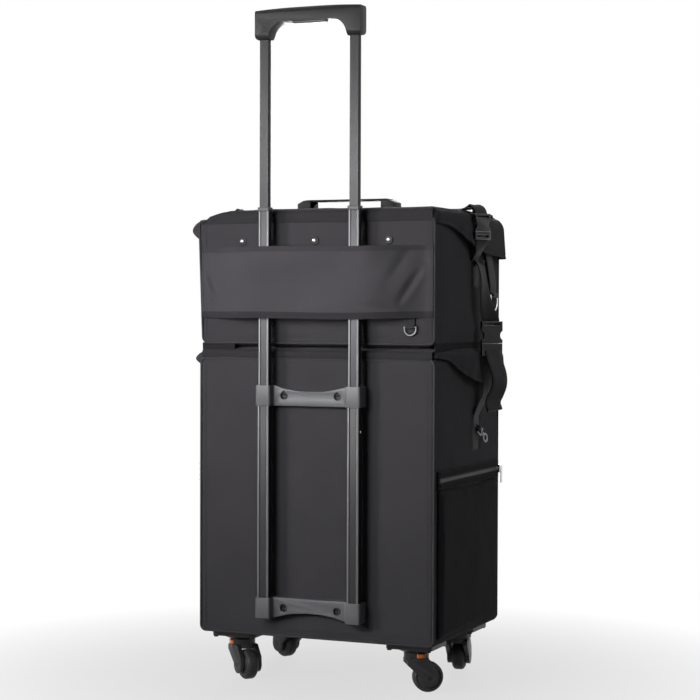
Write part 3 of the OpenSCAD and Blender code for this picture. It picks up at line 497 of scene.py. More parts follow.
def tube_mesh(paths, radius, sides=8, closed=False):
    """Verts and faces of round cords along the paths; radius is a number or a function of 0..1."""
    verts, faces = [], []
    for path in paths:
        pts = [Vector(p) for p in path]
        count = len(pts)
        side = None
        rings = []
        for i, p in enumerate(pts):
            if closed:
                ahead, behind = pts[(i + 1) % count], pts[i - 1]
            else:
                ahead, behind = pts[min(i + 1, count - 1)], pts[max(i - 1, 0)]
            along = (ahead - behind).normalized()
            if side is None:
                side = along.orthogonal().normalized()
            side = (side - along * side.dot(along)).normalized()
            other = along.cross(side)
            r = radius(i / (count - 1)) if callable(radius) else radius
            rings.append([p + (side * math.cos(a) + other * math.sin(a)) * r
                          for a in (2 * math.pi * k / sides for k in range(sides))])
        base = len(verts)
        for ring in rings:
            verts.extend(ring)
        if closed:
            first, last = rings[0], rings[-1]
            shift = min(range(sides), key=lambda k: (first[k] - last[0]).length)
            faces += [(base + r * sides + i, base + r * sides + (i + 1) % sides,
                       base + (r + 1) * sides + (i + 1) % sides, base + (r + 1) * sides + i)
                      for r in range(count - 1) for i in range(sides)]
            faces += [(base + (count - 1) * sides + i, base + (count - 1) * sides + (i + 1) % sides,
                       base + (i + 1 + shift) % sides, base + (i + shift) % sides) for i in range(sides)]
        else:
            faces += loft(rings, base)
    return verts, faces


def ring_points(half_x, half_y, r, cy, counts=(48, 36, 6), cx=0.0):
    """Points, outward normals and (side, share) tags round a rounded rectangle."""
    nx, ny, nc = counts
    out = []
    sides = [("front", -1, 0), ("right", 0, 1), ("rear", 1, 0), ("left", 0, -1)]
    for index, (side, _, _) in enumerate(sides):
        count = nx if index % 2 == 0 else ny
        for i in range(count):
            t = i / count
            if side == "front":
                p, n = (-half_x + r + t * 2 * (half_x - r), -half_y), (0, -1)
            elif side == "right":
                p, n = (half_x, -half_y + r + t * 2 * (half_y - r)), (1, 0)
            elif side == "rear":
                p, n = (half_x - r - t * 2 * (half_x - r), half_y), (0, 1)
            else:
                p, n = (-half_x, half_y - r - t * 2 * (half_y - r)), (-1, 0)
            out.append((Vector((cx + p[0], cy + p[1])), Vector(n), side, t))
        corner = [(half_x - r, -half_y + r), (half_x - r, half_y - r),
                  (-half_x + r, half_y - r), (-half_x + r, -half_y + r)][index]
        for i in range(nc):
            a = math.radians(-90 + 90 * index + 90 * i / nc)
            n = Vector((math.cos(a), math.sin(a)))
            out.append((Vector((cx + corner[0], cy + corner[1])) + n * r, n, "corner", i / nc))
    return out


def ripple(x, y, z, size, seed=0.0):
    """Smooth noise between -1 and 1 with features of the given size."""
    return noise.noise(Vector((x / size + seed, y / size - seed * 0.7, z / size + seed * 1.3)))


def hump(t, power=0.7):
    return max(0.0, 4 * t * (1 - t)) ** power


def smoothstep(a, b, x):
    t = min(max((x - a) / (b - a), 0.0), 1.0)
    return t * t * (3 - 2 * t)


# Ready shapes that are softened: a copy of a CAD node, merged, with rounded edges

def softened(nodes, name, kind, body, slot, width=None, segments=2, angle=30.0, rim=None):
    """A copy of CAD nodes with their edges rounded, and a painted highlight on the rounded edges where a rim finish is
    named.
    """
    bm = bmesh.new()
    for node in nodes:
        bm.from_mesh(frame["nodes"][node].data)
    bmesh.ops.remove_doubles(bm, verts=bm.verts, dist=1e-6)
    bmesh.ops.dissolve_limit(bm, angle_limit=math.radians(4.0), verts=bm.verts, edges=bm.edges)
    mesh = bpy.data.meshes.new(name)
    bm.to_mesh(mesh)
    bm.free()
    obj = bpy.data.objects.new(name, mesh)
    bpy.context.scene.collection.objects.link(obj)
    bevel = obj.modifiers.new("Rounding", "BEVEL")
    bevel.width = width or bpy.context.scene.case_sizes.bevel
    bevel.segments = segments
    bevel.limit_method = "ANGLE"
    bevel.angle_limit = math.radians(angle)
    bevel.use_clamp_overlap = True
    # the rim finish paints a lighter highlight on the bevel faces
    if rim:
        mesh.materials.append(finish(kind))
        mesh.materials.append(finish(rim))
        bevel.material = 1
    obj = applied(obj)
    box_uv(obj.data)
    smooth(obj.data, 40.0)
    rims = [face.material_index for face in obj.data.polygons]
    hold(obj, kind, body, slot, nodes)
    if rim:
        obj.data.materials.append(finish(rim))
        obj.data.polygons.foreach_set("material_index", rims)
    return obj


def applied(obj):
    """The evaluated object as a plain mesh."""
    graph = bpy.context.evaluated_depsgraph_get()
    mesh = bpy.data.meshes.new_from_object(obj.evaluated_get(graph))
    obj.modifiers.clear()
    old = obj.data
    name = old.name
    obj.data = mesh
    if old.users == 0 and isinstance(old, bpy.types.Mesh):
        bpy.data.meshes.remove(old)
    mesh.name = name
    return obj


# What repeats: stitches and zip teeth along a line

def repeat_tree(name, sizes, shape):
    """A Geometry Nodes tree that sets a small shape along a curve."""
    tree = bpy.data.node_groups.new(name, "GeometryNodeTree")
    face = tree.interface
    face.new_socket("Path", in_out="INPUT", socket_type="NodeSocketGeometry")
    for key, value in sizes.items():
        socket = face.new_socket(key, in_out="INPUT", socket_type="NodeSocketFloat")
        socket.default_value = value
    face.new_socket("Material", in_out="INPUT", socket_type="NodeSocketMaterial")
    face.new_socket("Pieces", in_out="OUTPUT", socket_type="NodeSocketGeometry")
    make, link = tree.nodes.new, tree.links.new
    given, result = make("NodeGroupInput"), make("NodeGroupOutput")
    spaced = make("GeometryNodeResampleCurve")
    spaced.mode = "LENGTH"
    link(given.outputs["Path"], spaced.inputs["Curve"])
    link(given.outputs["Spacing"], spaced.inputs["Length"])
    tangent = make("GeometryNodeInputTangent")
    normal = make("GeometryNodeInputNormal")
    axes = make("FunctionNodeAxesToRotation")
    axes.primary_axis, axes.secondary_axis = "Z", "X"
    link(tangent.outputs[0], axes.inputs["Primary Axis"])
    link(normal.outputs[0], axes.inputs["Secondary Axis"])
    small = shape(tree, given)
    place = make("GeometryNodeInstanceOnPoints")
    link(spaced.outputs[0], place.inputs["Points"])
    link(small, place.inputs["Instance"])
    link(axes.outputs[0], place.inputs["Rotation"])
    real = make("GeometryNodeRealizeInstances")
    link(place.outputs[0], real.inputs[0])
    paint = make("GeometryNodeSetMaterial")
    link(real.outputs[0], paint.inputs["Geometry"])
    link(given.outputs["Material"], paint.inputs["Material"])
    link(paint.outputs[0], result.inputs[0])
    return tree


def stitch_shape(tree, given):
    """A short spindle of thread along Z."""
    ball = tree.nodes.new("GeometryNodeMeshUVSphere")
    ball.inputs["Segments"].default_value = 6
    ball.inputs["Rings"].default_value = 4
    ball.inputs["Radius"].default_value = 1.0
    scale = tree.nodes.new("ShaderNodeCombineXYZ")
    half = tree.nodes.new("ShaderNodeMath")
    half.operation = "MULTIPLY"
    half.inputs[1].default_value = 0.5
    tree.links.new(given.outputs["Long"], half.inputs[0])
    tree.links.new(given.outputs["Thick"], scale.inputs[0])
    tree.links.new(given.outputs["Thick"], scale.inputs[1])
    tree.links.new(half.outputs[0], scale.inputs[2])
    bend = tree.nodes.new("GeometryNodeTransform")
    tree.links.new(ball.outputs["Mesh"], bend.inputs["Geometry"])
    tree.links.new(scale.outputs[0], bend.inputs["Scale"])
    return bend.outputs[0]


def tooth_shape(tree, given):
    """A block across the zip's line."""
    cube = tree.nodes.new("GeometryNodeMeshCube")
    size = tree.nodes.new("ShaderNodeCombineXYZ")
    half = tree.nodes.new("ShaderNodeMath")
    half.operation = "MULTIPLY"
    half.inputs[1].default_value = 0.55
    tree.links.new(given.outputs["Spacing"], half.inputs[0])
    tree.links.new(given.outputs["Thick"], size.inputs[0])
    tree.links.new(given.outputs["Long"], size.inputs[1])
    tree.links.new(half.outputs[0], size.inputs[2])
    tree.links.new(size.outputs[0], cube.inputs["Size"])
    return cube.outputs["Mesh"]


_trees = {}


def along(name, paths, kind, body, slot, shape, **values):
    """Sets stitches or teeth along the paths and keeps them as one plain mesh."""
    if shape not in _trees:
        _trees[shape] = repeat_tree(shape, {"Spacing": 0.004, "Long": 0.0026, "Thick": 0.0003},
                                    {"Stitches": stitch_shape, "Zip teeth": tooth_shape}[shape])
    tree = _trees[shape]
    curve = bpy.data.curves.new(name, "CURVE")
    curve.dimensions = "3D"
    for path in paths:
        spline = curve.splines.new("POLY")
        spline.points.add(len(path) - 1)
        for point, p in zip(spline.points, path):
            point.co = (*p, 1.0)
    obj = bpy.data.objects.new(name + "_line", curve)
    bpy.context.scene.collection.objects.link(obj)
    modifier = obj.modifiers.new(shape, "NODES")
    modifier.node_group = tree
    for item in tree.interface.items_tree:
        if item.in_out == "INPUT" and item.name in values:
            modifier[item.identifier] = values[item.name]
        elif item.in_out == "INPUT" and item.name == "Material":
            modifier[item.identifier] = finish(kind)
    graph = bpy.context.evaluated_depsgraph_get()
    mesh = bpy.data.meshes.new_from_object(obj.evaluated_get(graph))
    obj.modifiers.clear()
    bpy.data.objects.remove(obj)
    bpy.data.curves.remove(curve)
    mesh.name = name
    result = bpy.data.objects.new(name, mesh)
    bpy.context.scene.collection.objects.link(result)
    box_uv(mesh)
    smooth(mesh)
    return hold(result, kind, body, slot)


def stitches(name, paths, body, slot="nylon"):
    sizes = bpy.context.scene.case_sizes
    return along(name, paths, "thread", body, slot, "Stitches", Spacing=sizes.stitch_gap,
                 Long=sizes.stitch, Thick=sizes.thread)


# Bags

def swell(side, share, rise, depth):
    """How far a bag's side panel stands out: a pillow that falls to the seams."""
    if side in ("left", "right"):
        return depth * hump(share, 0.8) * hump(rise, 0.8)
    return 0.0


def valley(distance):
    """The dip in the cloth where it is drawn to a corded seam."""
    return -0.0011 * math.exp(-((distance - 0.0075) / 0.0035) ** 2)


def bag(name, z0, z1, depth, seed, body, stands_for, lean=(0.0, 0.0), sag=0.0):
    """A bag as one closed cloth skin: floor, walls with rounded seams, rim and lining side."""
    wall, corner, foot = 0.006, 0.007, 0.006
    rings = []

    def level(inset, z, skin):
        ring = []
        rise = min(max((z - z0) / (z1 - z0), 0.0), 1.0)
        for p, n, side, share in ring_points(SIDE_X - inset, HALF_Y - inset, max(corner - inset, 0.0015), MID_Y):
            out = swell(side, share, rise, depth) * skin
            if skin:
                reach = 2 * (SIDE_X if side in ("front", "rear") else HALF_Y)
                beside = min(share, 1 - share) * reach + 0.005 if side != "corner" else 0.0
                nearest = min(beside, rise * (z1 - z0), (1 - rise) * (z1 - z0) + 0.01)
                wave = ripple(p.x, p.y, z, 0.045, seed) * 0.0006 + ripple(p.x, p.y, z, 0.016, seed) * 0.00018
                wave += math.exp(-nearest / 0.016) * ripple(p.x, p.y, z, 0.008, seed + 3) * 0.0005
                if side == "rear":
                    wave = min(wave, 0.0) - 0.0001
                out += (wave + valley(nearest)) * skin
            q = p + n * out
            q.x += (lean[0] * (1 - rise) + lean[1] * rise) * smoothstep(0.12, SIDE_X, p.x)
            ring.append(Vector((q.x, q.y, z)))
        return ring

    for share in (0.02, 0.35, 0.7, 0.88, 0.93, 0.96, 0.98, 1.0):
        inset = foot + (1 - share) * (HALF_Y - foot - 0.002)
        rings.append(level(inset, z0 - sag * smoothstep(0.001, 0.010, inset - foot), 0.0))
    for i in range(1, 6):
        a = math.pi / 2 * i / 5
        rings.append(level(foot * (1 - math.sin(a)), z0 + foot * (1 - math.cos(a)), math.sin(a)))
    rows = max(10, int((z1 - z0) / 0.005))
    for i in range(1, rows):
        rings.append(level(0.0, z0 + foot + (z1 - z0 - foot - 0.001) * i / rows, 1.0))
    rings.append(level(0.0, z1 - 0.001, 1.0))
    rings.append(level(0.001, z1, 0.5))
    rings.append(level(wall - 0.001, z1, 0.0))
    rings.append(level(wall, z1 - 0.001, 0.0))
    for i in range(1, 9):
        rings.append(level(wall, z1 - 0.001 + (z0 + wall + 0.001 - z1) * i / 8, 0.0))
    for share in (0.02, 0.3, 0.65, 0.99):
        rings.append(level(wall + share * (HALF_Y - wall - 0.002), z0 + wall, 0.0))
    verts = [v for ring in rings for v in ring]
    obj = mesh_object(name, verts, loft(rings), 50.0)
    hold(obj, "nylon", body, "nylon", stands_for)
    return obj


def seam_loops(z0, z1, lean=(0.0, 0.0)):
    """Corded seams round the rear and the front panel, as closed loops."""
    loops = []
    for y, s in ((BACK_Y, 1), (FRONT_Y, -1)):
        x, r = SIDE_X - 0.0012, 0.008
        path = []
        for cx, cz, a0 in ((x - r, z0 + r, -90), (x - r, z1 - r, 0), (-x + r, z1 - r, 90), (-x + r, z0 + r, 180)):
            for i in range(7):
                a = math.radians(a0 + 90 * i / 6)
                px, pz = cx + r * math.cos(a), cz + r * math.sin(a)
                if px > 0:
                    px += lean[0] + (lean[1] - lean[0]) * (pz - z0) / (z1 - z0)
                path.append((px, y - s * 0.0008, pz))
        loops.append(path)
    return loops


def dense(path, step=0.01, closed=True):
    """The path with points no further apart than the step."""
    out = []
    pairs = list(zip(path, path[1:] + (path[:1] if closed else [])))
    for a, b in pairs:
        a, b = Vector(a), Vector(b)
        n = max(1, int((b - a).length / step))
        out += [a.lerp(b, i / n) for i in range(n)]
    if not closed:
        out.append(Vector(path[-1]))
    return out


def piping(name, loops, body, slot="nylon", radius=None, closed=True, kind="trim"):
    radius = radius or bpy.context.scene.case_sizes.piping
    verts, faces = tube_mesh([dense(p, closed=closed) for p in loops], radius, 8, closed)
    return hold(mesh_object(name, verts, faces, 60.0), kind, body, slot)


def slab(grid, thick, name, kind, body, slot, stands_for=(), angle=50.0, scale_uv=True):
    """A thin sheet: the grid is its middle layer, and both faces and all rims are made."""
    rows, cols = len(grid), len(grid[0])
    grid = [[Vector(p) for p in row] for row in grid]
    verts, uvs = [], []
    across = [0.0]
    for c in range(1, cols):
        across.append(across[-1] + (grid[rows // 2][c] - grid[rows // 2][c - 1]).length)
    down = [0.0]
    for r in range(1, rows):
        down.append(down[-1] + (grid[r][cols // 2] - grid[r - 1][cols // 2]).length)
    for side in (1, -1):
        for r in range(rows):
            for c in range(cols):
                a = grid[min(r + 1, rows - 1)][c] - grid[max(r - 1, 0)][c]
                b = grid[r][min(c + 1, cols - 1)] - grid[r][max(c - 1, 0)]
                n = a.cross(b).normalized()
                t = thick(r / (rows - 1), c / (cols - 1)) if callable(thick) else thick
                verts.append(grid[r][c] + n * (side * t / 2))
                uvs.append((across[c], down[r]))
    half = rows * cols
    faces = []
    for r in range(rows - 1):
        for c in range(cols - 1):
            q = [r * cols + c, r * cols + c + 1, (r + 1) * cols + c + 1, (r + 1) * cols + c]
            faces.append(tuple(q))
            faces.append(tuple(half + i for i in reversed(q)))
    rim = ([c for c in range(cols)] + [r * cols + cols - 1 for r in range(1, rows)]
           + [(rows - 1) * cols + c for c in range(cols - 2, -1, -1)] + [r * cols for r in range(rows - 2, 0, -1)])
    for a, b in zip(rim, rim[1:] + rim[:1]):
        faces.append((b, a, half + a, half + b))
    obj = mesh_object(name, verts, faces, angle, uvs)
    return hold(obj, kind, body, slot, stands_for) if body else obj


def curve_through(points, steps=8):
    """Points on a Catmull-Rom curve through the given tuples of numbers."""
    pts = [points[0], *points, points[-1]]
    out = []
    for i in range(1, len(pts) - 2):
        p0, p1, p2, p3 = (Vector(p) for p in pts[i - 1:i + 3])
        for k in range(steps):
            t = k / steps
            out.append(0.5 * (2 * p1 + (p2 - p0) * t + (2 * p0 - 5 * p1 + 4 * p2 - p3) * t * t
                              + (3 * p1 - p0 - 3 * p2 + p3) * t ** 3))
    out.append(Vector(pts[-2]))
    return out


def strap(name, stations, width, thick, body, slot="webbing", kind="webbing", stands_for=(), steps=8, cup=0.0):
    """Webbing through stations of a middle point and the direction of its width."""
    middles = curve_through([s[0] for s in stations], steps)
    widths = curve_through([s[1] for s in stations], steps)
    grid = []
    for i, (m, w) in enumerate(zip(middles, widths)):
        ahead = (middles[min(i + 1, len(middles) - 1)] - middles[max(i - 1, 0)]).normalized()
        w = (w - ahead * w.dot(ahead)).normalized()
        n = ahead.cross(w)
        grid.append([m + w * (width / 2 * t) + n * (cup * (1 - t * t)) for t in (-1, -0.94, -0.5, 0, 0.5, 0.94, 1)])
    return slab(grid, lambda r, c: thick * (0.55 if c in (0.0, 1.0) else 1.0), name, kind, body, slot, stands_for)


def pad(name, half_u, half_v, r, thick, crown, place, kind, body, slot, stands_for=(), wave=None,
        counts=(24, 20, 5), edge=None):
    """A stuffed panel on a plane: flat behind, rounded at its edge and crowned in front."""
    edge = edge or thick * 0.6
    small = min(half_u, half_v)
    verts, rings = [], []

    def add(inset, w, front):
        ring = []
        for p, n, side, share in ring_points(half_u - inset, half_v - inset, max(r - inset, 0.0006), 0.0, counts):
            lift = w
            if front:
                u, v = (p.x / half_u + 1) / 2, (p.y / half_v + 1) / 2
                lift += crown * hump(u, 0.6) * hump(v, 0.6)
                if wave:
                    lift += wave(p.x, p.y)
            ring.append(place(p.x, p.y, lift))
        rings.append(ring)

    for share in (0.98, 0.5, 0.12, 0.0):
        add(share * small, 0.0, False)
    for i in range(1, 5):
        a = math.pi / 2 * i / 4
        add(edge * (1 - math.cos(a)), thick - edge + edge * math.sin(a), False)
    for i in range(1, 13):
        add(edge + (small - edge - 0.0004) * (i / 12) ** 1.3, thick, True)
    verts = [v for ring in rings for v in ring]
    obj = mesh_object(name, verts, loft(rings), 55.0)
    hold(obj, kind, body, slot, stands_for)
    return obj


def puffed(obj, out, base, reach, voxel=0.003):
    """Fills a stuffed piece with the cloth solver: nothing moves further than the reach, or behind the base."""
    scene = bpy.context.scene
    skin = obj.modifiers.new("Skin", "REMESH")
    skin.mode, skin.voxel_size = "VOXEL", voxel
    obj = applied(obj)
    start = [v.co.copy() for v in obj.data.vertices]
    cloth = obj.modifiers.new("Filling", "CLOTH")
    cloth.settings.quality = 4
    cloth.settings.use_pressure = True
    cloth.settings.uniform_pressure_force = 4.0
    cloth.settings.effector_weights.gravity = 0.0
    cloth.point_cache.frame_start, cloth.point_cache.frame_end = 1, PUFF_FRAMES
    for frame in range(1, PUFF_FRAMES + 1):
        scene.frame_set(frame)
    obj = applied(obj)
    scene.frame_set(1)
    for v, before in zip(obj.data.vertices, start):
        held = smoothstep(base, base + 0.004, before.dot(out))
        move = (v.co - before) * held
        v.co = before + move * min(1.0, reach / max(move.length, 1e-9))
    finer = obj.modifiers.new("Finer", "SUBSURF")
    finer.levels = finer.render_levels = 1
    obj = applied(obj)
    box_uv(obj.data)
    smooth(obj.data, 60.0)
    return obj


def prism(name, outline, z0, z1, inner=None, chamfer=0.0004):
    """An upright solid or tube from closed outlines of X, Y points, with softened ends."""
    def ring(points, z, inset=0.0):
        cx = sum(p[0] for p in points) / len(points)
        cy = sum(p[1] for p in points) / len(points)
        return [Vector((cx + (p[0] - cx) * (1 - inset), cy + (p[1] - cy) * (1 - inset), z)) for p in points]
    tight = 0.03
    rings = [ring(outline, z0, tight), ring(outline, z0 + chamfer), ring(outline, z1 - chamfer), ring(outline, z1, tight)]
    if inner is None:
        rings = [ring(outline, z0, 0.97)] + rings + [ring(outline, z1, 0.97)]
        return [v for r in rings for v in r], loft(rings)
    rings += [ring(inner, z1), ring(inner, z0)]
    n = len(outline)
    verts = [v for r in rings for v in r]
    faces = [(r * n + i, r * n + (i + 1) % n, ((r + 1) % 6) * n + (i + 1) % n, ((r + 1) % 6) * n + i)
             for r in range(6) for i in range(n)]
    return verts, faces


def lathe(profile, centre, axis="Z", steps=32):
    """A closed solid turned from radius and height pairs."""
    rings = []
    for rad, h in profile:
        ring = []
        for k in range(steps):
            a = 2 * math.pi * k / steps
            x, y = rad * math.cos(a), rad * math.sin(a)
            p = {"Z": (x, y, h), "Y": (y, h, x), "X": (h, x, y)}[axis]
            ring.append(Vector(centre) + Vector(p))
        rings.append(ring)
    return [v for r in rings for v in r], loft(rings)


def merged(parts):
    verts, faces = [], []
    for v, f in parts:
        base = len(verts)
        verts += list(v)
        faces += [tuple(base + i for i in face) for face in f]
    return verts, faces


def dress(node, kind):
    """A new material on a CAD node whose own shape stays."""
    obj = frame["nodes"][node]
    obj.data.materials.clear()
    obj.data.materials.append(finish(kind))


# Lids

WINGS = {  # distance in front of the back panel, and how far the wing's edge hangs below the lid's top
    "upper": ((0.0, 0.0182), (0.020, 0.0187), (0.041, 0.0198), (0.058, 0.0227), (0.075, 0.0270), (0.092, 0.0330),
              (0.110, 0.0398), (0.128, 0.0459), (0.141, 0.0499), (0.152, 0.0515), (0.191, 0.0580), (0.240, 0.0595),
              (0.268, 0.0625), (0.300, 0.0630)),
    "lower": ((0.0, 0.0066), (0.015, 0.0075), (0.031, 0.0087), (0.044, 0.0102), (0.057, 0.0142), (0.069, 0.0200),
              (0.087, 0.0270), (0.100, 0.0313), (0.117, 0.0362), (0.131, 0.0397), (0.153, 0.0441), (0.176, 0.0479),
              (0.250, 0.0530), (0.300, 0.0540)),
}
CURL = {"upper": (0.038, 0.0165, 1.0), "lower": (0.026, 0.012, 0.45)}  # drop, bulge's depth and share, left rear corner


def lid_drop(which, v):
    """How far down a lid's wing reaches at the distance v in front of the back panel."""
    table = WINGS[which]
    for (a, da), (b, db) in zip(table, table[1:]):
        if v <= b:
            return da + (db - da) * max(0.0, (v - a) / (b - a))
    return table[-1][1]


def rounding(depth, r):
    """How far a rounded edge of radius r lies inside its corner, at the given depth."""
    gap = r - min(max(depth, 0.0), r)
    return r - math.sqrt(max(r * r - gap * gap, 0.0))


def lid(which, top, crown, body, node, dents=()):
    """A padded lid with a skirt that grows from the rear corners into two wings and a front flap."""
    sizes = bpy.context.scene.case_sizes
    half_x = SIDE_X + 0.008
    rear, front = BACK_Y - 0.0015, FRONT_Y - 0.008
    cy, half_y = (rear + front) / 2, (rear - front) / 2
    edge, skin, seed = 0.006, 0.0032, {"upper": 2.0, "lower": 7.0}[which]
    curl_drop, curl_deep, curl_share = CURL[which]
    nose, left_droop = {"upper": (0.020, 0.0085), "lower": (0.010, 0.0)}[which]
    rings, hem = [], []

    def stand_off(p, depth, low):
        """How far the skirt stands off in X: tight at the right rear corner, curled out at the left one."""
        v = rear - p.y
        share = min(max(depth / low, 0.0), 1.0)
        if p.x < 0:
            tight = -0.0050 * (1 - smoothstep(0.0, 0.14, v)) * smoothstep(0.10, 0.19, -p.x)
            return tight + 0.0045 * share * smoothstep(0.05, 0.13, v) * smoothstep(0.14, 0.197, -p.x)
        curled = sizes.lid_flare * curl_share * math.exp(-((v - 0.006) / 0.05) ** 2)
        profile = math.exp(-((depth - curl_deep) / (0.55 * curl_drop)) ** 2) * 1.25 - 0.25
        tucked = 0.0120 * smoothstep(0.45, 0.98, share) * math.exp(-((v - 0.004) / 0.06) ** 2)
        return (curled * profile + 0.003 * share - tucked) * smoothstep(0.15, 0.197, p.x)

    def bend(p, n, depth, inset, low):
        """The place in plan of a point on the lid's outside, with its rounded front and curled corner."""
        q, v = p.copy(), rear - p.y
        inside = max(0.0, 1 - inset / (2 * nose))
        q.y += rounding(depth, nose) * inside * smoothstep(0.0, 0.9, -n.y)
        q.x -= math.copysign(rounding(depth, nose) * inside * smoothstep(0.19, 0.27, v) * abs(n.x) ** 0.5, p.x)
        if p.x > 0:
            near = math.exp(-(max(v, 0.0) / 0.045) ** 2) * smoothstep(0.15, 0.195, p.x + inset)
            q.x -= rounding(depth, 0.016) * max(0.0, 1 - inset / 0.032) * near
        q.x += (1 if p.x > 0 else -1) * stand_off(p, depth, low) * abs(n.x) ** 0.5
        q.y -= 0.006 * smoothstep(0.3, 1.0, min(depth / low, 1.0)) * smoothstep(0.2, 1.0, -n.y)
        return q

    def add(inset, z, kind, share=0.0):
        ring = []
        for p, n, side, _ in ring_points(half_x - inset, half_y - inset, max(0.013 - inset, 0.001), cy, (56, 48, 8)):
            v = rear - p.y
            low = lid_drop(which, max(0.0, v))
            if p.x > 0:
                low = max(low, curl_drop)
            first, last = (0.55, 0.99) if p.x > 0 else (0.80, 0.999)
            turned = smoothstep(first, last, n.y) if side != "rear" else 1.0
            low = low * (1 - turned) + 0.0085 * turned
            droop = left_droop * smoothstep(0.145, 0.188, p.x) * math.exp(-(max(v, 0.0) / 0.07) ** 2)
            height = z
            if kind == "top":
                d = min(half_x - abs(p.x), p.y - front)
                height += crown * (1 - math.exp(-max(inset - 0.003, 0) / 0.007))
                height += ripple(p.x, p.y, 0, 0.07, seed) * 0.0014 * min(1, inset / 0.02)
                height += ripple(p.x, p.y, 0, 0.025, seed) * 0.0005 * min(1, inset / 0.01)
                height -= 0.0035 * math.exp(-max(v, 0.0) / 0.008) * (which == "lower")
                for x, y in dents:
                    height -= 0.0028 * math.exp(-((p.x - x) / 0.018) ** 2 - ((p.y - y) / 0.012) ** 2)
                q = bend(p, n, 0.0, inset, low)
            elif kind == "edge":
                if which == "lower":
                    height -= 0.0035 * turned
                q = bend(p, n, top - z, inset, low)
            elif kind == "skirt":
                height = top - edge - share * (low - edge)
                q = bend(p, n, top - height, inset, low)
                if inset == 0.0:
                    fold = ripple(p.x, p.y, height, 0.03, seed) * 0.0012 + ripple(p.x, p.y, 0.0, 0.05, seed + 5) * 0.0022
                    drawn = math.sin((v - 0.8 * height) * 150) * 0.0009 * math.exp(-((v - 0.115) / 0.05) ** 2)
                    q += n * ((fold + drawn) * share * (1 - turned))
                    if share == 1.0:
                        hem.append((q.copy(), n.copy(), height - droop, turned))
            else:
                q = bend(p, n, 0.02, inset, low)
            ring.append(Vector((q.x, q.y, height - droop)))
        rings.append(ring)

    for share in (0.99, 0.85, 0.7, 0.56, 0.44, 0.34, 0.26, 0.20, 0.15, 0.11, 0.08, 0.06):
        add(share * half_y, top, "top")
    for i in range(6):
        a = math.pi / 2 * i / 5
        add(edge * (1 - math.sin(a)), top - edge * (1 - math.cos(a)), "edge")
    steps = 14
    for i in range(1, steps + 1):
        add(0.0, 0, "skirt", i / steps)
    for share in (1.01, 0.99, 0.8, 0.6, 0.4, 0.2, 0.06):
        add(skin * (0.5 if share > 1 else 1.0), 0, "skirt", share)
    under = top - 0.0092
    for share in (0.05, 0.3, 0.6, 0.99):
        add(skin + share * (half_y - skin), under, "under")
    verts = [v for ring in rings for v in ring]
    obj = mesh_object(which + "_lid_cloth", verts, loft(rings), 60.0)
    hold(obj, "nylon", body, "nylon", [node])
    turn = next(i for i, h in enumerate(hem) if h[3] == 1.0)
    skirt = [h for h in hem[turn:] + hem[:turn] if h[3] < (0.6 if h[0].x < 0 else 0.02)]
    rolled = [Vector((q.x, q.y, z)) - Vector((n.x, n.y, 0)) * 0.0009 for q, n, z, _ in skirt]
    piping(which + "_lid_hem", [rolled], body, radius=0.0019, closed=False, kind="nylon")
    path = [Vector((q.x, q.y, z + 0.0075)) + Vector((n.x, n.y, 0)) * 0.0005 for q, n, z, _ in skirt]
    stitches(which + "_lid_stitches", [path], body)
    return obj


def hinge_cloth(which, low, top, below):
    """The cloth that joins a bag's back panel to its lid."""
    left_droop = {"upper": 0.0085, "lower": 0.0}[which]
    rows = []
    for t in range(15):
        s = t / 14
        if s < 0.62:
            z = low + (top - 0.0035 - low) * s / 0.62
            y = BACK_Y + 0.0004 + 0.0012 * math.sin(math.pi * s / 1.24)
        else:
            a = (s - 0.62) / 0.38 * math.pi / 2 * 1.15
            y, z = BACK_Y - 0.0044 + 0.0060 * math.cos(a), top - 0.0035 + 0.0052 * math.sin(a)
            if a > math.pi / 2:
                y, z = BACK_Y - 0.0046 - 0.004 * (a - math.pi / 2) / 0.235, top + 0.0017
        rows.append((y, z))
    grid = []
    for y, z in rows:
        row = []
        for c in range(81):
            x = (c / 80 * 2 - 1) * (SIDE_X - 0.004)
            droop = left_droop * smoothstep(0.145, 0.188, x) + left_droop * 0.8 * smoothstep(0.166, 0.187, x) ** 2
            droop *= smoothstep(low + 0.002, top, z)
            row.append((x, y + ripple(x, 0, z, 0.03, 4.0) * 0.0005, z - droop + ripple(x, 1, z, 0.05, 9.0) * 0.0006))
        grid.append(row)
    obj = slab(grid, lambda r, c: 0.0003 + 0.0009 * min(1.0, r * 8), which + "_hinge_cloth", "nylon", None, "nylon")
    # painted shade: the hinge cloth takes the darker copy of the nylon
    obj.data.materials.append(finish("shade_binding"))
    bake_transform(obj)
    stitches(which + "_hinge_stitches", [[(x, BACK_Y + 0.0016, low + 0.0032) for x in
                                          (-SIDE_X + 0.006, SIDE_X - 0.006)]], below)
    return obj


# The operators

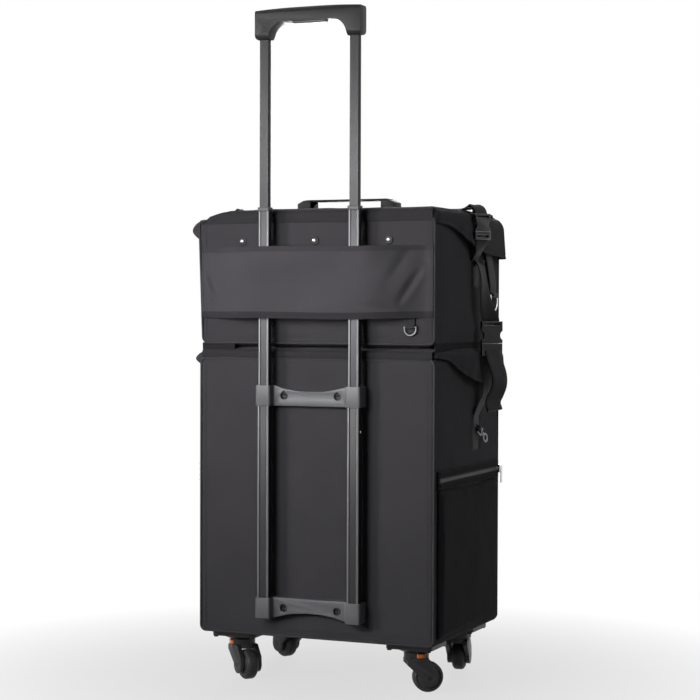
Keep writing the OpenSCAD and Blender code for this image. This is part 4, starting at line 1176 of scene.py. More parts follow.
class CASE_OT_stage(Operator):
    """Sets the floor, the light and the camera"""
    bl_idname = "case.stage"
    bl_label = "Stage"

    def execute(self, context):
        scene = context.scene
        scene.view_settings.view_transform = "Standard"
        world = bpy.data.worlds.new("Studio")
        world.use_nodes = True
        tree = world.node_tree
        tree.nodes.clear()
        out = tree.nodes.new("ShaderNodeOutputWorld")
        mix = tree.nodes.new("ShaderNodeMixShader")
        soft = tree.nodes.new("ShaderNodeBackground")
        soft.inputs["Color"].default_value = (0.92, 0.93, 0.96, 1)
        soft.inputs["Strength"].default_value = 0.035
        white = tree.nodes.new("ShaderNodeBackground")
        white.inputs["Color"].default_value = (1, 1, 1, 1)
        white.inputs["Strength"].default_value = 1.0
        self.seen(tree, mix.inputs[0])
        tree.links.new(soft.outputs[0], mix.inputs[1])
        tree.links.new(white.outputs[0], mix.inputs[2])
        tree.links.new(mix.outputs[0], out.inputs["Surface"])
        scene.world = world
        self.floor()
        self.lamp("Key", (2.2, 2.7, 1.20), (0, 0.1, 0.69), 1.0, 4.5, 37.0)
        self.lamp("Upper", (0.20, 1.15, 0.70), (-0.04, 0.1, 0.66), 0.40, 5.8, 130.0)
        self.lamp("Side", (-1.2, -0.05, 1.35), (-0.19, 0, 0.95), 0.5, 3.6)
        self.lamp("Front", (0.75, -2.3, 0.95), (0, -0.1, 0.45), 0.9, 56.0)
        self.camera(scene)
        return {"FINISHED"}

    def seen(self, tree, socket):
        """Links a factor that is 1 where the background itself is seen."""
        path = tree.nodes.new("ShaderNodeLightPath")
        first, second = tree.nodes.new("ShaderNodeMath"), tree.nodes.new("ShaderNodeMath")
        first.operation = second.operation = "MAXIMUM"
        tree.links.new(path.outputs["Is Camera Ray"], first.inputs[0])
        tree.links.new(path.outputs["Is Glossy Ray"], first.inputs[1])
        tree.links.new(first.outputs[0], second.inputs[0])
        tree.links.new(path.outputs["Is Transmission Ray"], second.inputs[1])
        tree.links.new(second.outputs[0], socket)

    def floor(self):
        f = Finish("Pale floor", roughness=0.9)
        f.shader.inputs["Specular IOR Level"].default_value = 0.0
        where = f.place()
        x, y, _ = f.split(where)
        far = ((x * x + y * y) ** 0.5 / 0.75).clamp()
        grain = f.noise(where, 6.0, 3.0)
        f.set("Base Color", f.tint(grain, (0.20, 0.20, 0.20), (0.23, 0.23, 0.23)))
        glow = f.tree.nodes.new("ShaderNodeEmission")
        glow.inputs["Color"].default_value = (1, 1, 1, 1)
        glow.inputs["Strength"].default_value = 1.0
        mix = f.tree.nodes.new("ShaderNodeMixShader")
        seen = f.tree.nodes.new("ShaderNodeMath")
        seen.operation = "MULTIPLY"
        self.seen(f.tree, seen.inputs[0])
        f.join(far * far * 0.34 + 0.66, seen.inputs[1])
        f.tree.links.new(seen.outputs[0], mix.inputs[0])
        f.tree.links.new(f.shader.outputs[0], mix.inputs[1])
        f.tree.links.new(glow.outputs[0], mix.inputs[2])
        f.tree.links.new(mix.outputs[0], f.out.inputs["Surface"])
        size = 30.0
        mesh = bpy.data.meshes.new("floor")
        mesh.from_pydata([(-size, -size, -0.0003), (size, -size, -0.0003), (size, size, -0.0003),
                          (-size, size, -0.0003)], [], [(0, 1, 2, 3)])
        obj = bpy.data.objects.new("floor", mesh)
        mesh.materials.append(f.material)
        bpy.context.scene.collection.objects.link(obj)
        obj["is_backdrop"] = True

    def lamp(self, name, spot, target, size, power, spread=180.0):
        light = bpy.data.lights.new(name, "AREA")
        light.size, light.energy, light.spread = size, power, math.radians(spread)
        obj = bpy.data.objects.new(name, light)
        obj.location = spot
        obj.rotation_euler = (Vector(target) - Vector(spot)).to_track_quat("-Z", "Y").to_euler()
        obj.visible_camera = False
        bpy.context.scene.collection.objects.link(obj)

    def camera(self, scene):
        yaw, pitch, roll = (math.radians(a) for a in (23.186, 1.204, 0.174))
        back = Vector((-math.sin(yaw) * math.cos(pitch), math.cos(yaw) * math.cos(pitch), math.sin(pitch)))
        right = (-back).cross(Vector((0, 0, 1))).normalized()
        up = right.cross(-back)
        x = right * math.cos(roll) + up * math.sin(roll)
        y = up * math.cos(roll) - right * math.sin(roll)
        data = bpy.data.cameras.new("Camera")
        data.sensor_width, data.lens = 36.0, 98.33
        camera = bpy.data.objects.new("Camera", data)
        camera.matrix_world = Matrix((x, y, back)).transposed().to_4x4()
        camera.location = (-1.1544, 2.5631 + BACK_Y, 0.5616)
        scene.collection.objects.link(camera)
        scene.camera = camera


class CASE_OT_lower_bag(Operator):
    """Makes the lower bag's cloth, its corded seams and its boards"""
    bl_idname = "case.lower_bag"
    bl_label = "Lower bag"

    def execute(self, context):
        bag("lower_bag", FLOOR_Z, LOWER_TOP, 0.0024, 1.0, "root", ["lower_shell"], (0.0, 0.0012))
        piping("lower_bag_cords", seam_loops(FLOOR_Z + 0.0012, LOWER_TOP - 0.001), "root")
        lines = []
        for y, s in ((BACK_Y, 1), (FRONT_Y, -1)):
            for x in (-SIDE_X + 0.0105, SIDE_X - 0.0105):
                lines.append([(x, y + s * 0.0003, FLOOR_Z + 0.012), (x, y + s * 0.0003, LOWER_TOP - 0.012)])
            lines.append([(-SIDE_X + 0.014, y + s * 0.0003, FLOOR_Z + 0.0105),
                          (SIDE_X - 0.014, y + s * 0.0003, FLOOR_Z + 0.0105)])
        stitches("lower_bag_stitches", lines, "root")
        for node, kind in (("base_board", "lining"), ("back_board", "lining"), ("lower_divider", "lining")):
            softened([node], node + "_cover", kind, "root", "board", 0.0012, 3)
        return {"FINISHED"}


class CASE_OT_upper_bag(Operator):
    """Makes the upper bag's cloth, its corded seams, feet and dividers"""
    bl_idname = "case.upper_bag"
    bl_label = "Upper bag"

    def execute(self, context):
        lean = (-0.0030, 0.0035)
        bag("upper_bag_cloth", UPPER_Z, UPPER_TOP, 0.0030, 5.0, "upper_bag", ["upper_shell"], lean, 0.0034)
        piping("upper_bag_cords", seam_loops(UPPER_Z + 0.0012, UPPER_TOP - 0.001, lean), "upper_bag")
        lines = []
        for x in (-SIDE_X + 0.0105, SIDE_X - 0.0105):
            lines.append([(x, BACK_Y + 0.0003, UPPER_Z + 0.012), (x, BACK_Y + 0.0003, UPPER_TOP - 0.010)])
        lines.append([(-SIDE_X + 0.014, BACK_Y + 0.0003, UPPER_Z + 0.0105),
                      (SIDE_X - 0.014, BACK_Y + 0.0003, UPPER_Z + 0.0105)])
        stitches("upper_bag_stitches", lines, "upper_bag")
        self.shade_binding()
        softened(["upper_dividers"], "upper_divider_covers", "lining", "upper_bag", "board", 0.0018, 3)
        softened(["rest_feet"], "rest_foot_pads", "rubber", "upper_bag", "wheel_rubber", 0.0010, 3)
        return {"FINISHED"}

    def shade_binding(self):
        """Dark binding tape that hangs from the bag's lower edge into the gap above the lower lid: a dark sheet put
        where the shade between the bags falls.
        """
        x, low, high = SIDE_X - 0.0030, UPPER_Z - 0.0058, UPPER_Z + 0.0010
        rear, front = BACK_Y - 0.0025, FRONT_Y + 0.0040
        runs = {"left": [(x, rear - 0.004 - t * (rear - front - 0.008)) for t in [k / 30 for k in range(31)]],
                "right": [(-x, rear - 0.004 - t * (rear - front - 0.008)) for t in [k / 30 for k in range(31)]],
                "front": [((t * 2 - 1) * (x - 0.004), front) for t in [k / 40 for k in range(41)]],
                "rear": [(0.132 + t * 0.054, rear) for t in [k / 12 for k in range(13)]]}
        for name, run in runs.items():
            grid, deep = [], 0.0040
            for rise in (0.0, 0.12, 0.5, 0.88, 1.0):
                grid.append([(px, py, low - deep + (high - low + deep) * rise + ripple(px, py, 0, 0.02, 31.0) * 0.0004 * (1 - rise))
                             for px, py in run])
            # a dark sheet in the darker pocket finish, standing in for the shade between the bags
            slab(grid, lambda r, c: 0.0012 if 0 < r < 1 else 0.0006, "bag_binding_" + name, "pocket", "upper_bag", "nylon")


class CASE_OT_lids(Operator):
    """Makes both padded flap lids and the cloth that hinges them"""
    bl_idname = "case.lids"
    bl_label = "Lids"

    def execute(self, context):
        low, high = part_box("rest_feet")
        feet = [(x, y) for x in (low.x + 0.014, high.x - 0.014) for y in (low.y + 0.007, high.y - 0.007)]
        lid("upper", UPPER_LID_Z, 0.0055, "upper_flap", "upper_lid")
        lid("lower", LOWER_LID_Z, 0.0066, "lower_flap", "lower_lid", feet)
        hinge_cloth("upper", 0.6895, UPPER_LID_Z, "upper_bag")
        hinge_cloth("lower", 0.4895, LOWER_LID_Z, "root")
        return {"FINISHED"}


class CASE_OT_sleeve(Operator):
    """Makes the sleeve that holds the upper bag to the rails, and the press studs above it"""
    bl_idname = "case.sleeve"
    bl_label = "Rail sleeve"

    def execute(self, context):
        low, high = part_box("rail_sleeve")
        z0, z1 = low.z, high.z
        out, half = high.y - BACK_Y, high.x
        flat = 0.088

        def depth(x):
            a = abs(x)
            if a <= flat:
                return out - 0.0010
            t = min(1.0, (a - flat) / (half - 0.006 - flat))
            return 0.0010 + (out - 0.0020) * (1 - smoothstep(0, 1, t)) ** 0.85 if a < half - 0.006 else 0.0010

        def crease(x, z):
            """Folds that run from the sewn ends, and slack waves between the rails."""
            total = ripple(x, 3.0, z, 0.05, 12.0) * 0.0011
            ends = ((-0.166, 0.618, -0.140, 0.574, 0.0032, 0.0042), (-0.150, 0.644, -0.122, 0.600, 0.0019, 0.0060),
                    (0.181, 0.614, 0.165, 0.578, -0.0042, 0.0042), (0.180, 0.642, 0.174, 0.606, -0.0020, 0.0060),
                    (0.162, 0.566, 0.112, 0.552, -0.0022, 0.0050), (-0.128, 0.562, -0.080, 0.570, 0.0016, 0.0045))
            for xa, za, xb, zb, depth_in, wide in ends:
                d = Vector((xb - xa, zb - za))
                t = min(max((Vector((x - xa, z - za)).dot(d)) / d.length_squared, 0), 1)
                gap = (Vector((x - xa, z - za)) - d * t).length
                total -= depth_in * math.exp(-(gap / wide) ** 2) * (0.35 + 0.65 * math.sin(math.pi * min(max(t, 0.05), 0.95)))
                total += depth_in * 0.45 * math.exp(-((gap - 2.1 * wide) / wide) ** 2) * hump(min(max(t, 0.05), 0.95), 0.5)
            share = (z - z0) / (z1 - z0)
            total -= 0.0022 * hump(share, 1.0) * hump(min(max((x + 0.07) / 0.14, 0), 1), 1.0)
            total += 0.0019 * math.sin(share * 9.0 + x * 14.0) * hump(min(max((x + half) / (2 * half), 0), 1), 0.4)
            return total

        rows, cols = 44, 150
        grid = []
        for r in range(rows + 1):
            share = r / rows
            row = []
            for c in range(cols + 1):
                x = (c / cols * 2 - 1) * half
                sag = 0.0018 * math.cos(math.pi * x / (2 * half))
                z = z0 + (z1 - z0) * share - sag * (1 - share) + 0.0006 * math.sin(x * 26)
                fade = smoothstep(0, 0.008, half - abs(x))
                y = BACK_Y + depth(x) + max(crease(x, z) * fade, 0.0002 - depth(x) + 0.0006)
                row.append((x, min(y, high.y + 0.004), z))
            grid.append(row)
        slab(grid, 0.0016, "sleeve_cloth", "sleeve", "upper_bag", "nylon", ["rail_sleeve"])
        step = 1
        # painted shade: the lower hem takes the darker hinge-cloth finish, the upper hem plain nylon
        for name, kind, r0, r1 in (("sleeve_hem_low", "shade_binding", 0, 4), ("sleeve_hem_high", "nylon", rows - 3, rows)):
            band = []
            for r in range(r0, r1 + 1):
                band.append([Vector(p) + Vector((0, 0.0011, 0)) for p in grid[r][::step]])
            slab(band, 0.0010, name, kind, "upper_bag", "nylon")
        inner = [[Vector(p) + Vector((0, 0.0018, 0)) for p in grid[r][2:-2:2]] for r in (3, rows - 3)]
        stitches("sleeve_hem_stitches", inner, "upper_bag")
        ends = []
        for x in (-half + 0.003, half - 0.003):
            ends.append([(x, BACK_Y + 0.0030, z0 + 0.004), (x, BACK_Y + 0.0030, z1 - 0.004)])
        stitches("sleeve_end_stitches", ends, "upper_bag")
        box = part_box("snap_studs")
        zc = (box[0].z + box[1].z) / 2
        rings, domes = [], []
        for x in (-0.1175, 0.0, 0.1175):
            rings.append(lathe([(0.0001, 0.0), (0.0062, 0.0), (0.0066, 0.0006), (0.0063, 0.0014), (0.0052, 0.0019),
                                (0.0042, 0.0018), (0.0038, 0.0013), (0.0001, 0.0012)], (x, BACK_Y, zc), "Y"))
            domes.append(lathe([(0.0001, 0.0010), (0.0026, 0.0010), (0.0025, 0.0026), (0.0029, 0.0034), (0.0027, 0.0041),
                                (0.0018, 0.0046), (0.0001, 0.0048)], (x, BACK_Y, zc), "Y", 24))
        verts, faces = merged(rings)
        hold(mesh_object("press_studs", verts, faces), "black_metal", "upper_bag", "steel", ["snap_studs"])
        verts, faces = merged(domes)
        hold(mesh_object("press_stud_domes", verts, faces), "steel", "upper_bag", "steel")
        return {"FINISHED"}


class CASE_OT_pockets(Operator):
    """Makes the zipped pockets, their bands, zips and sliders"""
    bl_idname = "case.pockets"
    bl_label = "Pockets"

    def execute(self, context):
        low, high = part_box("outer_pockets")
        band_low, band_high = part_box("pocket_zips")
        z0, z1 = low.z, high.z
        y0, y1 = FRONT_Y + 0.014, BACK_Y - 0.0095
        half_y, half_z = (y1 - y0) / 2, (z1 - z0) / 2
        mid_y, mid_z = (y0 + y1) / 2, (z0 + z1) / 2
        wave = lambda u, v: ripple(u, v, 0, 0.06, 21.0) * 0.0009 + ripple(u, v, 0, 0.022, 22.0) * 0.0003
        base = SIDE_X - 0.0005
        for name, s in (("pocket_left", -1), ("pocket_right", 1)):
            place = lambda u, v, w, s=s: Vector((s * (base + w), mid_y + u, mid_z + v))
            obj = pad(name, half_y, half_z, 0.006, 0.0052, 0.0012, place, "pocket", "root", "nylon",
                      ["outer_pockets"] if s < 0 else (), wave)
            puffed(obj, Vector((s, 0, 0)), base + 0.002, 0.003)
        half_x = 0.150
        place = lambda u, v, w: Vector((u, FRONT_Y + 0.0005 - w, mid_z + v))
        obj = pad("pocket_front", half_x, half_z, 0.006, 0.0052, 0.0012, place, "pocket", "root", "nylon", (), wave)
        puffed(obj, Vector((0, -1, 0)), 0.002 - FRONT_Y, 0.003)
        self.bands(band_low, band_high)
        return {"FINISHED"}

    def bands(self, low, high):
        z0, z1 = low.z, high.z
        mid_z, half_z = (z0 + z1) / 2, (z1 - z0) / 2
        y0, y1 = FRONT_Y + 0.012, BACK_Y - 0.0085
        spots = []
        for name, s in (("band_left", -1), ("band_right", 1)):
            spots.append((name, (y1 - y0) / 2, lambda u, v, w, s=s: Vector((s * (SIDE_X - 0.0005 + w), (y0 + y1) / 2 + u,
                                                                            mid_z + v))))
        spots.append(("band_front", 0.152, lambda u, v, w: Vector((u, FRONT_Y + 0.0005 - w, mid_z + v))))
        lines, teeth, tapes = [], [], []
        for index, (name, half_u, place) in enumerate(spots):
            for side in (1, -1):
                shifted = lambda u, v, w, side=side, place=place: place(u, v + side * half_z * 0.60, w)
                pad(name + ("_top" if side > 0 else "_low"), half_u, half_z * 0.40, 0.0012, 0.0062, 0.0010, shifted,
                    "pocket", "root", "zip_tape", ["pocket_zips"] if index == 0 and side > 0 else (), None, (40, 4, 3))
                for v in (half_z * 0.90, half_z * 0.34):
                    lines.append([place(u * half_u * 0.985, side * v, 0.0070) for u in (-1, 1)])
            tapes.append([[place(u * half_u * 0.99, v, 0.0040) for u in [k / 10 - 1 for k in range(21)]]
                          for v in (-half_z * 0.3, -half_z * 0.1, half_z * 0.1, half_z * 0.3)])
            teeth.append([place(u * half_u * 0.97, 0.0, 0.0050) for u in (-1, 1)])
        for index, grid in enumerate(tapes):
            slab(grid, 0.0016, ("zip_tape_left", "zip_tape_right", "zip_tape_front")[index], "tape", "root", "zip_tape")
        sizes = bpy.context.scene.case_sizes
        along("zip_teeth_sides", teeth[:2], "plastic", "root", "zip_tape", "Zip teeth", Spacing=sizes.tooth,
              Long=0.0044, Thick=0.0016)
        along("zip_teeth_front", teeth[2:], "plastic", "root", "zip_tape", "Zip teeth", Spacing=sizes.tooth,
              Long=0.0016, Thick=0.0044)
        stitches("band_stitches", lines, "root")
        for node, body in (("zip_slider_left", "zip_left"), ("zip_slider_right", "zip_right"),
                           ("zip_slider_front", "zip_front")):
            softened([node], node + "_pull", "steel", body, "steel", 0.0006, 2)


class CASE_OT_straps(Operator):
    """Makes the webbing, its sewn patches, its loops and its tails"""
    bl_idname = "case.straps"
    bl_label = "Straps"

    def execute(self, context):
        self.width, self.gauge = 0.025, 0.0018
        self.lid_spot = self.bar("lid_buckle_females")
        self.join_spot = self.bar("join_buckle_females")
        for side, tag in ((-1, "right"), (1, "left")):
            self.first = side < 0
            self.side = side
            self.lid_strap(tag)
            self.bag_straps(tag)
            self.lower_straps(tag)
        self.ring_tab()
        return {"FINISHED"}

    def bar(self, node):
        """The middle of a buckle on the left side: out from the case's middle, in front of its back, and its ends."""
        low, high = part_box(node)
        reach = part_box(node)[1].x
        return reach, BACK_Y - (low.y + high.y) / 2, low.z, high.z

    def at(self, x, v, z):
        return (self.side * x, BACK_Y - v, z)

    def across(self, turn):
        """The direction of a strap's width where its buckle is turned by so many degrees."""
        a = math.radians(turn)
        return (-self.side * math.sin(a), math.cos(a), 0.0)

    def ribbon(self, name, stations, body, stands_for=(), width=None, gauge=None, cup=0.0, kind="webbing"):
        return strap(name, stations, width or self.width, gauge or self.gauge, body, "webbing", kind,
                     list(stands_for) if self.first else (), 6, cup)

    def patch(self, name, x, v, half, z0, z1, body, stands_for=(), lines=2):
        """A doubled piece of webbing sewn to a side panel, with its box stitches."""
        place = lambda u, w, lift: Vector(self.at(x + lift, v - u, (z0 + z1) / 2 + w))
        half_z = (z1 - z0) / 2
        pad(name, half, half_z, 0.0012, 0.0026, 0.0006, place, "webbing", body, "webbing",
            list(stands_for) if self.first else (), None, (10, 16, 3))
        box = []
        for k in range(lines):
            i = 0.0022 + k * 0.0018
            box.append([place(u, w, 0.0029) for u, w in ((-half + i, -half_z + i), (half - i, -half_z + i),
                                                         (half - i, half_z - i), (-half + i, half_z - i),
                                                         (-half + i, -half_z + i))])
        box.append([place(-half + 0.003, -half_z + 0.003, 0.0031), place(half - 0.003, half_z - 0.003, 0.0031)])
        box.append([place(-half + 0.003, half_z - 0.003, 0.0031), place(half - 0.003, -half_z + 0.003, 0.0031)])
        stitches(name + "_stitches", box, body, "webbing")

    def eye(self, name, x, v, z, r, width, body, lean=0.0):
        """Webbing rolled round a ring's bar."""
        along_bar = Vector((0, math.cos(lean), -math.sin(lean)))
        up = Vector((0, math.sin(lean), math.cos(lean)))
        out = Vector((self.side, 0, 0))
        centre = Vector(self.at(x, v, z))
        stations = []
        for k in range(13):
            a = math.radians(150 - 300 * k / 12)
            stations.append((centre + (out * math.sin(a) + up * math.cos(a)) * r, along_bar))
        return self.ribbon(name, stations, body, (), width, 0.0015)

    def lid_strap(self, tag):
        out, v, low, high = self.lid_spot
        x = 0.2078
        level, turned = (0, 1, 0), self.across(22)
        top = UPPER_LID_Z
        stations = [(self.at(0.137, v, top + 0.0068), level), (self.at(0.158, v, top + 0.0067), level),
                    (self.at(0.173, v, top + 0.0064), level), (self.at(0.1825, v, top + 0.0072), level),
                    (self.at(0.1890, v, top + 0.0104), level), (self.at(0.1955, v, top + 0.0126), turned),
                    (self.at(0.2025, v, top + 0.0095), turned), (self.at(0.2062, v, top + 0.0045), turned),
                    (self.at(x, v, top - 0.0020), turned), (self.at(x - 0.0006, v, top - 0.0070), turned)]
        self.ribbon("lid_strap_" + tag, stations, "upper_flap", ["lid_straps"])
        lines = [[self.at(0.139, v + u, top + 0.0075), self.at(0.152, v + u, top + 0.0082)] for u in (-0.0105, 0.0105)]
        lines.append([self.at(0.1385, v - 0.0105, top + 0.0075), self.at(0.1385, v + 0.0105, top + 0.0075)])
        stitches("lid_strap_stitches_" + tag, lines, "upper_flap", "webbing")
        under = [(self.at(x - 0.0050, v, top - 0.0105), turned), (self.at(x - 0.0056, v, top + 0.0020), turned),
                 (self.at(0.1990, v, top + 0.0070), turned), (self.at(0.1915, v, top + 0.0085), level),
                 (self.at(0.1850, v, top + 0.0070), level)]
        self.ribbon("lid_strap_fold_" + tag, under, "upper_flap")

    def bag_straps(self, tag):
        out, v, low, high = self.lid_spot
        join_out, join_v, join_low, join_high = self.join_spot
        level, turned, skewed = (0, 1, 0), self.across(22), self.across(45)
        low_bar = low - 0.0135
        anchor_v, z0, z1 = 0.16505, UPPER_Z + 0.084, UPPER_Z + 0.122
        stations = [(self.at(0.2078, v, low_bar + 0.0040), turned), (self.at(0.2072, v + 0.001, low_bar - 0.006), turned),
                    (self.at(0.2030, v + 0.004, low_bar - 0.016), level), (self.at(0.1965, v + 0.008, low_bar - 0.026), level),
                    (self.at(0.1930, v + 0.012, z1 + 0.002), level), (self.at(0.1920, anchor_v - 0.004, z1 - 0.012), level)]
        self.ribbon("bag_strap_" + tag, stations, "upper_bag", ["bag_straps"])
        self.patch("bag_strap_patch_" + tag, SIDE_X, anchor_v, 0.016, z0, z1, "upper_bag")
        loop = [(self.at(0.1935, anchor_v - 0.002, z1 - 0.004), level), (self.at(0.1985, anchor_v - 0.006, z1 + 0.0010), level),
                (self.at(0.2050, anchor_v - 0.009, z1 - 0.010), level), (self.at(0.2085, anchor_v - 0.010, z1 - 0.028), level),
                (self.at(0.2095, anchor_v - 0.006, z1 - 0.052), self.across(15)),
                (self.at(0.2100, anchor_v + 0.004, join_high + 0.014), self.across(32)),
                (self.at(0.2126, join_v, join_high + 0.0015), skewed), (self.at(0.2126, join_v, join_high - 0.0045), skewed)]
        self.ribbon("join_strap_upper_" + tag, loop, "upper_bag", (), None, None, 0.0008)
        ring_low, ring_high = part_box("side_ring_left")
        ring_v, ring_z = BACK_Y - (ring_low.y + ring_high.y) / 2, ring_high.z - 0.0015
        web = [(self.at(0.1935, ring_v - 0.034, 0.6560), level), (self.at(0.1945, ring_v - 0.022, 0.630), level),
               (self.at(0.1935, ring_v - 0.008, 0.605), level), (self.at(0.1920, ring_v - 0.001, ring_z + 0.008), level),
               (self.at(0.1928, ring_v, ring_z + 0.002), level)]
        self.ribbon("ring_web_" + tag, web, "upper_bag")
        self.eye("ring_web_eye_" + tag, SIDE_X + 0.0042, ring_v, ring_z, 0.0033, 0.0240, "upper_bag")
        lines = [[self.at(0.1934, ring_v - 0.0105, ring_z + rise), self.at(0.1934, ring_v + 0.0095, ring_z + rise)]
                 for rise in (0.0085, 0.0120)]
        stitches("ring_web_stitches_" + tag, lines, "upper_bag", "webbing")

    def lower_straps(self, tag):
        join_out, join_v, join_low, join_high = self.join_spot
        low_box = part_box("join_buckle_males")
        bar_z = low_box[0].z + 0.0050
        tab_low, tab_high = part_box("hook_tabs")
        tab_v, tab_top = 0.16805, LOWER_TOP - 0.086
        level, skewed = (0, 1, 0), self.across(45)
        x = 0.2126
        down = [(self.at(x - 0.0030, join_v, bar_z + 0.002), skewed), (self.at(x - 0.0055, join_v, bar_z - 0.010), skewed),
                (self.at(0.2045, join_v + 0.004, bar_z - 0.028), self.across(30)),
                (self.at(0.2035, join_v + 0.006, bar_z - 0.050), self.across(15)),
                (self.at(0.2010, join_v + 0.002, bar_z - 0.066), level), (self.at(0.1960, tab_v + 0.003, tab_top + 0.010), level),
                (self.at(0.1922, tab_v, tab_top - 0.003), level), (self.at(0.1918, tab_v, tab_top - 0.020), level)]
        self.ribbon("join_strap_lower_" + tag, down, "root", ["join_straps_lower"])
        sideways = Vector(self.across(45)) * -1.0
        outwards = Vector((self.side, 1.0, 0.0)).normalized()
        tail = []
        for drop, swing, stand in ((-0.004, 0.0, 0.0030), (0.008, 0.0015, 0.0055), (0.022, 0.0055, 0.0085),
                                   (0.036, 0.0088, 0.0100), (0.050, 0.0095, 0.0085), (0.062, 0.0070, 0.0045),
                                   (0.072, 0.0030, 0.0020), (0.082, 0.0022, 0.0035), (0.088, 0.0032, 0.0055)):
            p = Vector(self.at(x, join_v, bar_z - drop)) + sideways * swing + outwards * stand
            tail.append((p, skewed))
        self.ribbon("join_tail_" + tag, tail, "root", (), None, 0.0034, 0.0010, "lighter_webbing")
        hem = [(Vector(p) + outwards * 0.0006, w) for p, w in tail[-2:]]
        self.ribbon("join_tail_hem_" + tag, hem, "root", (), 0.0254, 0.0058, 0.0, "lighter_webbing")
        last, before = Vector(tail[-1][0]), Vector(tail[-2][0])
        line = [last.lerp(before, 0.55) + sideways * u + outwards * 0.0040 for u in (-0.0105, 0.0105)]
        stitches("join_tail_stitches_" + tag, [line], "root", "webbing")
        self.patch("hook_patch_" + tag, SIDE_X, tab_v, 0.018, tab_low.z, tab_top, "root", ["hook_tabs"])
        hook_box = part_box("strap_hook_left")
        self.eye("hook_eye_" + tag, SIDE_X + 0.0062, 0.17205, tab_top - 0.022, 0.0034, 0.0086, "root",
                 math.radians(48) * 1.0)

    def ring_tab(self):
        """The small tab and eye on the back of the upper bag."""
        low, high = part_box("d_ring")
        x, z = (low.x + high.x) / 2, high.z - 0.0012
        self.first = False
        level = (1, 0, 0)
        rows = [((x, BACK_Y + 0.0012, z + 0.0135), level), ((x, BACK_Y + 0.0014, z + 0.006), level),
                ((x, BACK_Y + 0.0024, z + 0.0015), level)]
        self.ribbon("ring_tab", rows, "upper_bag", (), 0.014, 0.0016)
        centre = Vector((x, BACK_Y + 0.0034, z))
        stations = []
        for k in range(11):
            a = math.radians(150 - 300 * k / 10)
            stations.append((centre + Vector((0, math.sin(a), math.cos(a))) * 0.0026, level))
        self.ribbon("ring_tab_eye", stations, "upper_bag", (), 0.0138, 0.0012)
        stitches("ring_tab_stitches", [[(x - 0.0055, BACK_Y + 0.0024, z + 0.0075), (x + 0.0055, BACK_Y + 0.0024, z + 0.0075)],
                                       [(x - 0.0055, BACK_Y + 0.0022, z + 0.0115), (x + 0.0055, BACK_Y + 0.0022, z + 0.0115)]],
                 "upper_bag", "webbing")


class CASE_OT_buckles(Operator):
    """Makes the side-release buckles"""
    bl_idname = "case.buckles"
    bl_label = "Buckles"

    def execute(self, context):
        for node, body in (("join_buckle_males", "root"), ("lid_buckle_males", "upper_bag"),
                           ("join_buckle_females", "upper_bag"), ("lid_buckle_females", "upper_flap")):
            # the rim finish paints a light highlight on each buckle's bevelled edges
            softened([node], node + "_moulded", "buckle", body, "moulded_plastic", 0.0009, 2, rim="buckle_highlight")
        return {"FINISHED"}


class CASE_OT_trims(Operator):
    """Dresses the side rings, the D-ring and the swivel hooks in plated steel"""
    bl_idname = "case.trims"
    bl_label = "Metal trims"

    def execute(self, context):
        for node in ("side_ring_left", "side_ring_right"):
            dress(node, "steel")
        for node in ("d_ring", "strap_hook_left", "strap_hook_right"):
            dress(node, "dark_steel")
        return {"FINISHED"}


class CASE_OT_rails(Operator):
    """Makes the grooved rails, their collars and both brackets"""
    bl_idname = "case.rails"
    bl_label = "Rails and brackets"

    def execute(self, context):
        for node, body, kind, name, grooves in (
                ("fixed_rails", "root", "outer_rail", "outer_rails", True),
                ("mid_tubes", "mid_stage", "middle_rail", "middle_rails", True),
                ("top_tubes", "top_stage", "top_rail", "top_rails", False)):
            self.tubes(node, body, kind, name, grooves)
        softened(["mid_collars"], "middle_collars", "plastic", "mid_stage", "moulded_plastic", 0.0005)
        softened(["top_bracket"], "upper_bracket", "bracket", "root", "moulded_plastic", 0.0010, 3)
        softened(["bottom_bracket"], "lower_bracket", "bracket", "root", "moulded_plastic", 0.0010, 3)
        softened(["bracket_screws"], "bracket_screw_set", "black_metal", "root", "black_screw", 0.0004)
        self.lock_pins()
        return {"FINISHED"}

    def lock_pins(self):
        """The small domed pin on the outer flank of each outer rail."""
        flank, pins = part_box("fixed_rails")[1].x, []
        for x in (-flank, flank):
            pins.append(lathe([(0.0001, -0.0010), (0.0016, -0.0008), (0.0019, 0.0), (0.0016, 0.0008), (0.0001, 0.0012)],
                              (x, RAIL_Y, 0.385), "X", 24))
        verts, faces = merged(pins)
        hold(mesh_object("rail_lock_pins", verts, faces), "steel", "root", "steel")

    def tubes(self, node, body, kind, name, grooves):
        low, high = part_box(node)
        half_d = (high.y - low.y) / 2
        half_w = high.x - RAIL_X
        r, wall = (0.0026, 0.0018) if grooves else (0.0021, 0.0008)
        parts = []
        for cx in (-RAIL_X, RAIL_X):
            outer, inner = [], []
            for p, n, side, share in ring_points(half_w, half_d, r, RAIL_Y, (48, 6, 6), cx):
                inset = 0.0
                if grooves and side in ("front", "rear"):
                    across = abs(p.x - cx) / half_w
                    inset = 0.0009 * (1 - smoothstep(0.46, 0.58, across)) - 0.0002 * hump(min(max((across - 0.58) / 0.42, 0), 1))
                outer.append((p.x - n.x * inset, p.y - n.y * inset))
                inner.append((p.x - n.x * wall, p.y - n.y * wall))
            parts.append(prism(name, outer, low.z, high.z, inner))
        verts, faces = merged(parts)
        hold(mesh_object(name, verts, faces, 30.0), kind, body, "rail", [node])


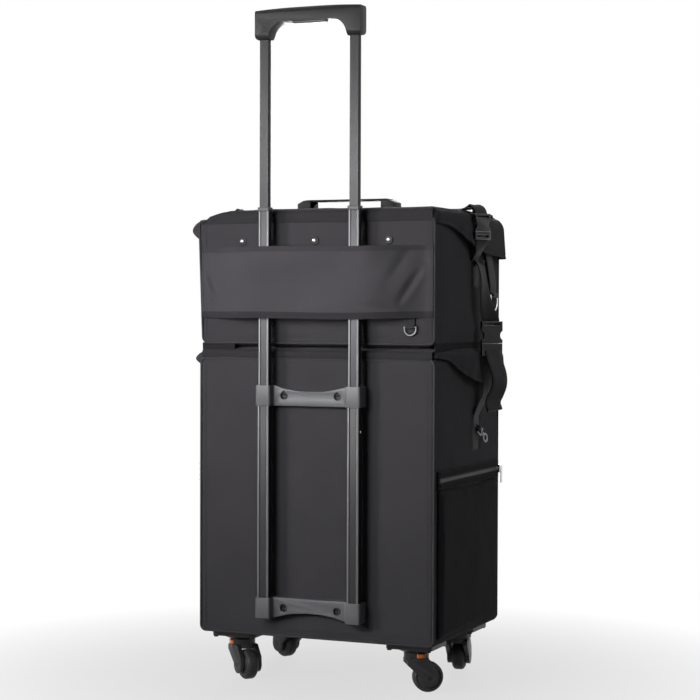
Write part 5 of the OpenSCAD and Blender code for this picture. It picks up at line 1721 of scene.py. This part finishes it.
class CASE_OT_handle(Operator):
    """Makes the grip, its push button and the carry handle"""
    bl_idname = "case.handle"
    bl_label = "Grip and carry handle"

    def execute(self, context):
        softened(["grip"], "grip_moulded", "grip", "top_stage", "moulded_plastic", 0.0020, 3)
        softened(["grip_button"], "grip_button_moulded", "plastic", "lock_button", "moulded_plastic", 0.0008)
        # painted highlight: the lighter grip finish on the bevelled edges of the carry handle and its caps
        softened(["handle_caps"], "carry_handle_caps", "carry", "upper_flap", "moulded_plastic", 0.0016, 3, rim="grip")
        softened(["carry_handle"], "carry_handle_strap", "carry", "top_handle", "moulded_plastic", 0.0012, 3, rim="grip")
        dress("lock_linkage", "steel")
        self.return_spring(0.003)
        return {"FINISHED"}

    def return_spring(self, travel):
        """The wound spring under the grip's roof, copied as it stands; nothing here shortens it as the button is
        pressed.
        """
        mesh = frame["nodes"]["button_spring"].data.copy()
        spring = bpy.data.objects.new("return_spring", mesh)
        bpy.context.scene.collection.objects.link(spring)
        box_uv(mesh)
        smooth(mesh)
        hold(spring, "steel", "top_stage", "steel", ["button_spring"])
        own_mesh(spring)


class CASE_OT_casters(Operator):
    """Makes the casters with their plates, forks, wheels and release buttons"""
    bl_idname = "case.casters"
    bl_label = "Casters"

    def execute(self, context):
        softened(["wheel_plates"], "caster_plates", "fork", "root", "moulded_plastic", 0.0010, 2)
        softened(["plate_screws"], "caster_plate_screws", "black_metal", "root", "steel", 0.0005)
        for k in ("rl", "rr", "fl", "fr"):
            softened(["caster_fork_" + k], "fork_" + k, "fork", "caster_" + k, "moulded_plastic", 0.0012, 3)
            softened(["caster_axle_" + k], "axle_" + k, "black_metal", "caster_" + k, "steel", 0.0006)
            softened(["caster_wheel_" + k], "wheel_tread_" + k, "rubber", "wheel_" + k, "wheel_rubber", 0.0006)
            softened(["release_button_" + k], "release_" + k + "_tab", "orange", "release_" + k, "orange_plastic", 0.0006)
        return {"FINISHED"}


class CASE_PT_looks(Panel):
    """Lists the steps that dress the case, with its colours and sewn sizes"""
    bl_idname = "CASE_PT_looks"
    bl_label = "Rolling case"
    bl_space_type = "VIEW_3D"
    bl_region_type = "UI"
    bl_category = "Case"

    def draw(self, context):
        for step in STEPS:
            self.layout.operator(step.bl_idname)
        for group in (context.scene.case_colours, context.scene.case_sizes):
            column = self.layout.column()
            for key in group.bl_rna.properties.keys():
                if key not in ("rna_type", "name"):
                    column.prop(group, key)


STEPS = (CASE_OT_stage, CASE_OT_lower_bag, CASE_OT_upper_bag, CASE_OT_lids, CASE_OT_sleeve, CASE_OT_pockets,
         CASE_OT_straps, CASE_OT_buckles, CASE_OT_trims, CASE_OT_rails, CASE_OT_handle, CASE_OT_casters)
CLASSES = (CaseColours, CaseSizes, *STEPS, CASE_PT_looks)


def register():
    for cls in CLASSES:
        bpy.utils.register_class(cls)
    bpy.types.Scene.case_colours = PointerProperty(type=CaseColours)
    bpy.types.Scene.case_sizes = PointerProperty(type=CaseSizes)


def unregister():
    del bpy.types.Scene.case_sizes
    del bpy.types.Scene.case_colours
    for cls in reversed(CLASSES):
        bpy.utils.unregister_class(cls)


def main():
    register()
    for step in STEPS:
        group, name = step.bl_idname.split(".")
        getattr(getattr(bpy.ops, group), name)()
    plain = lambda box: [[round(float(c), 6) for c in corner] for corner in box]
    {"cad_box": plain(CAD_BOX), "visual_box": plain(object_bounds())}


if __name__ == "__main__":
    main()
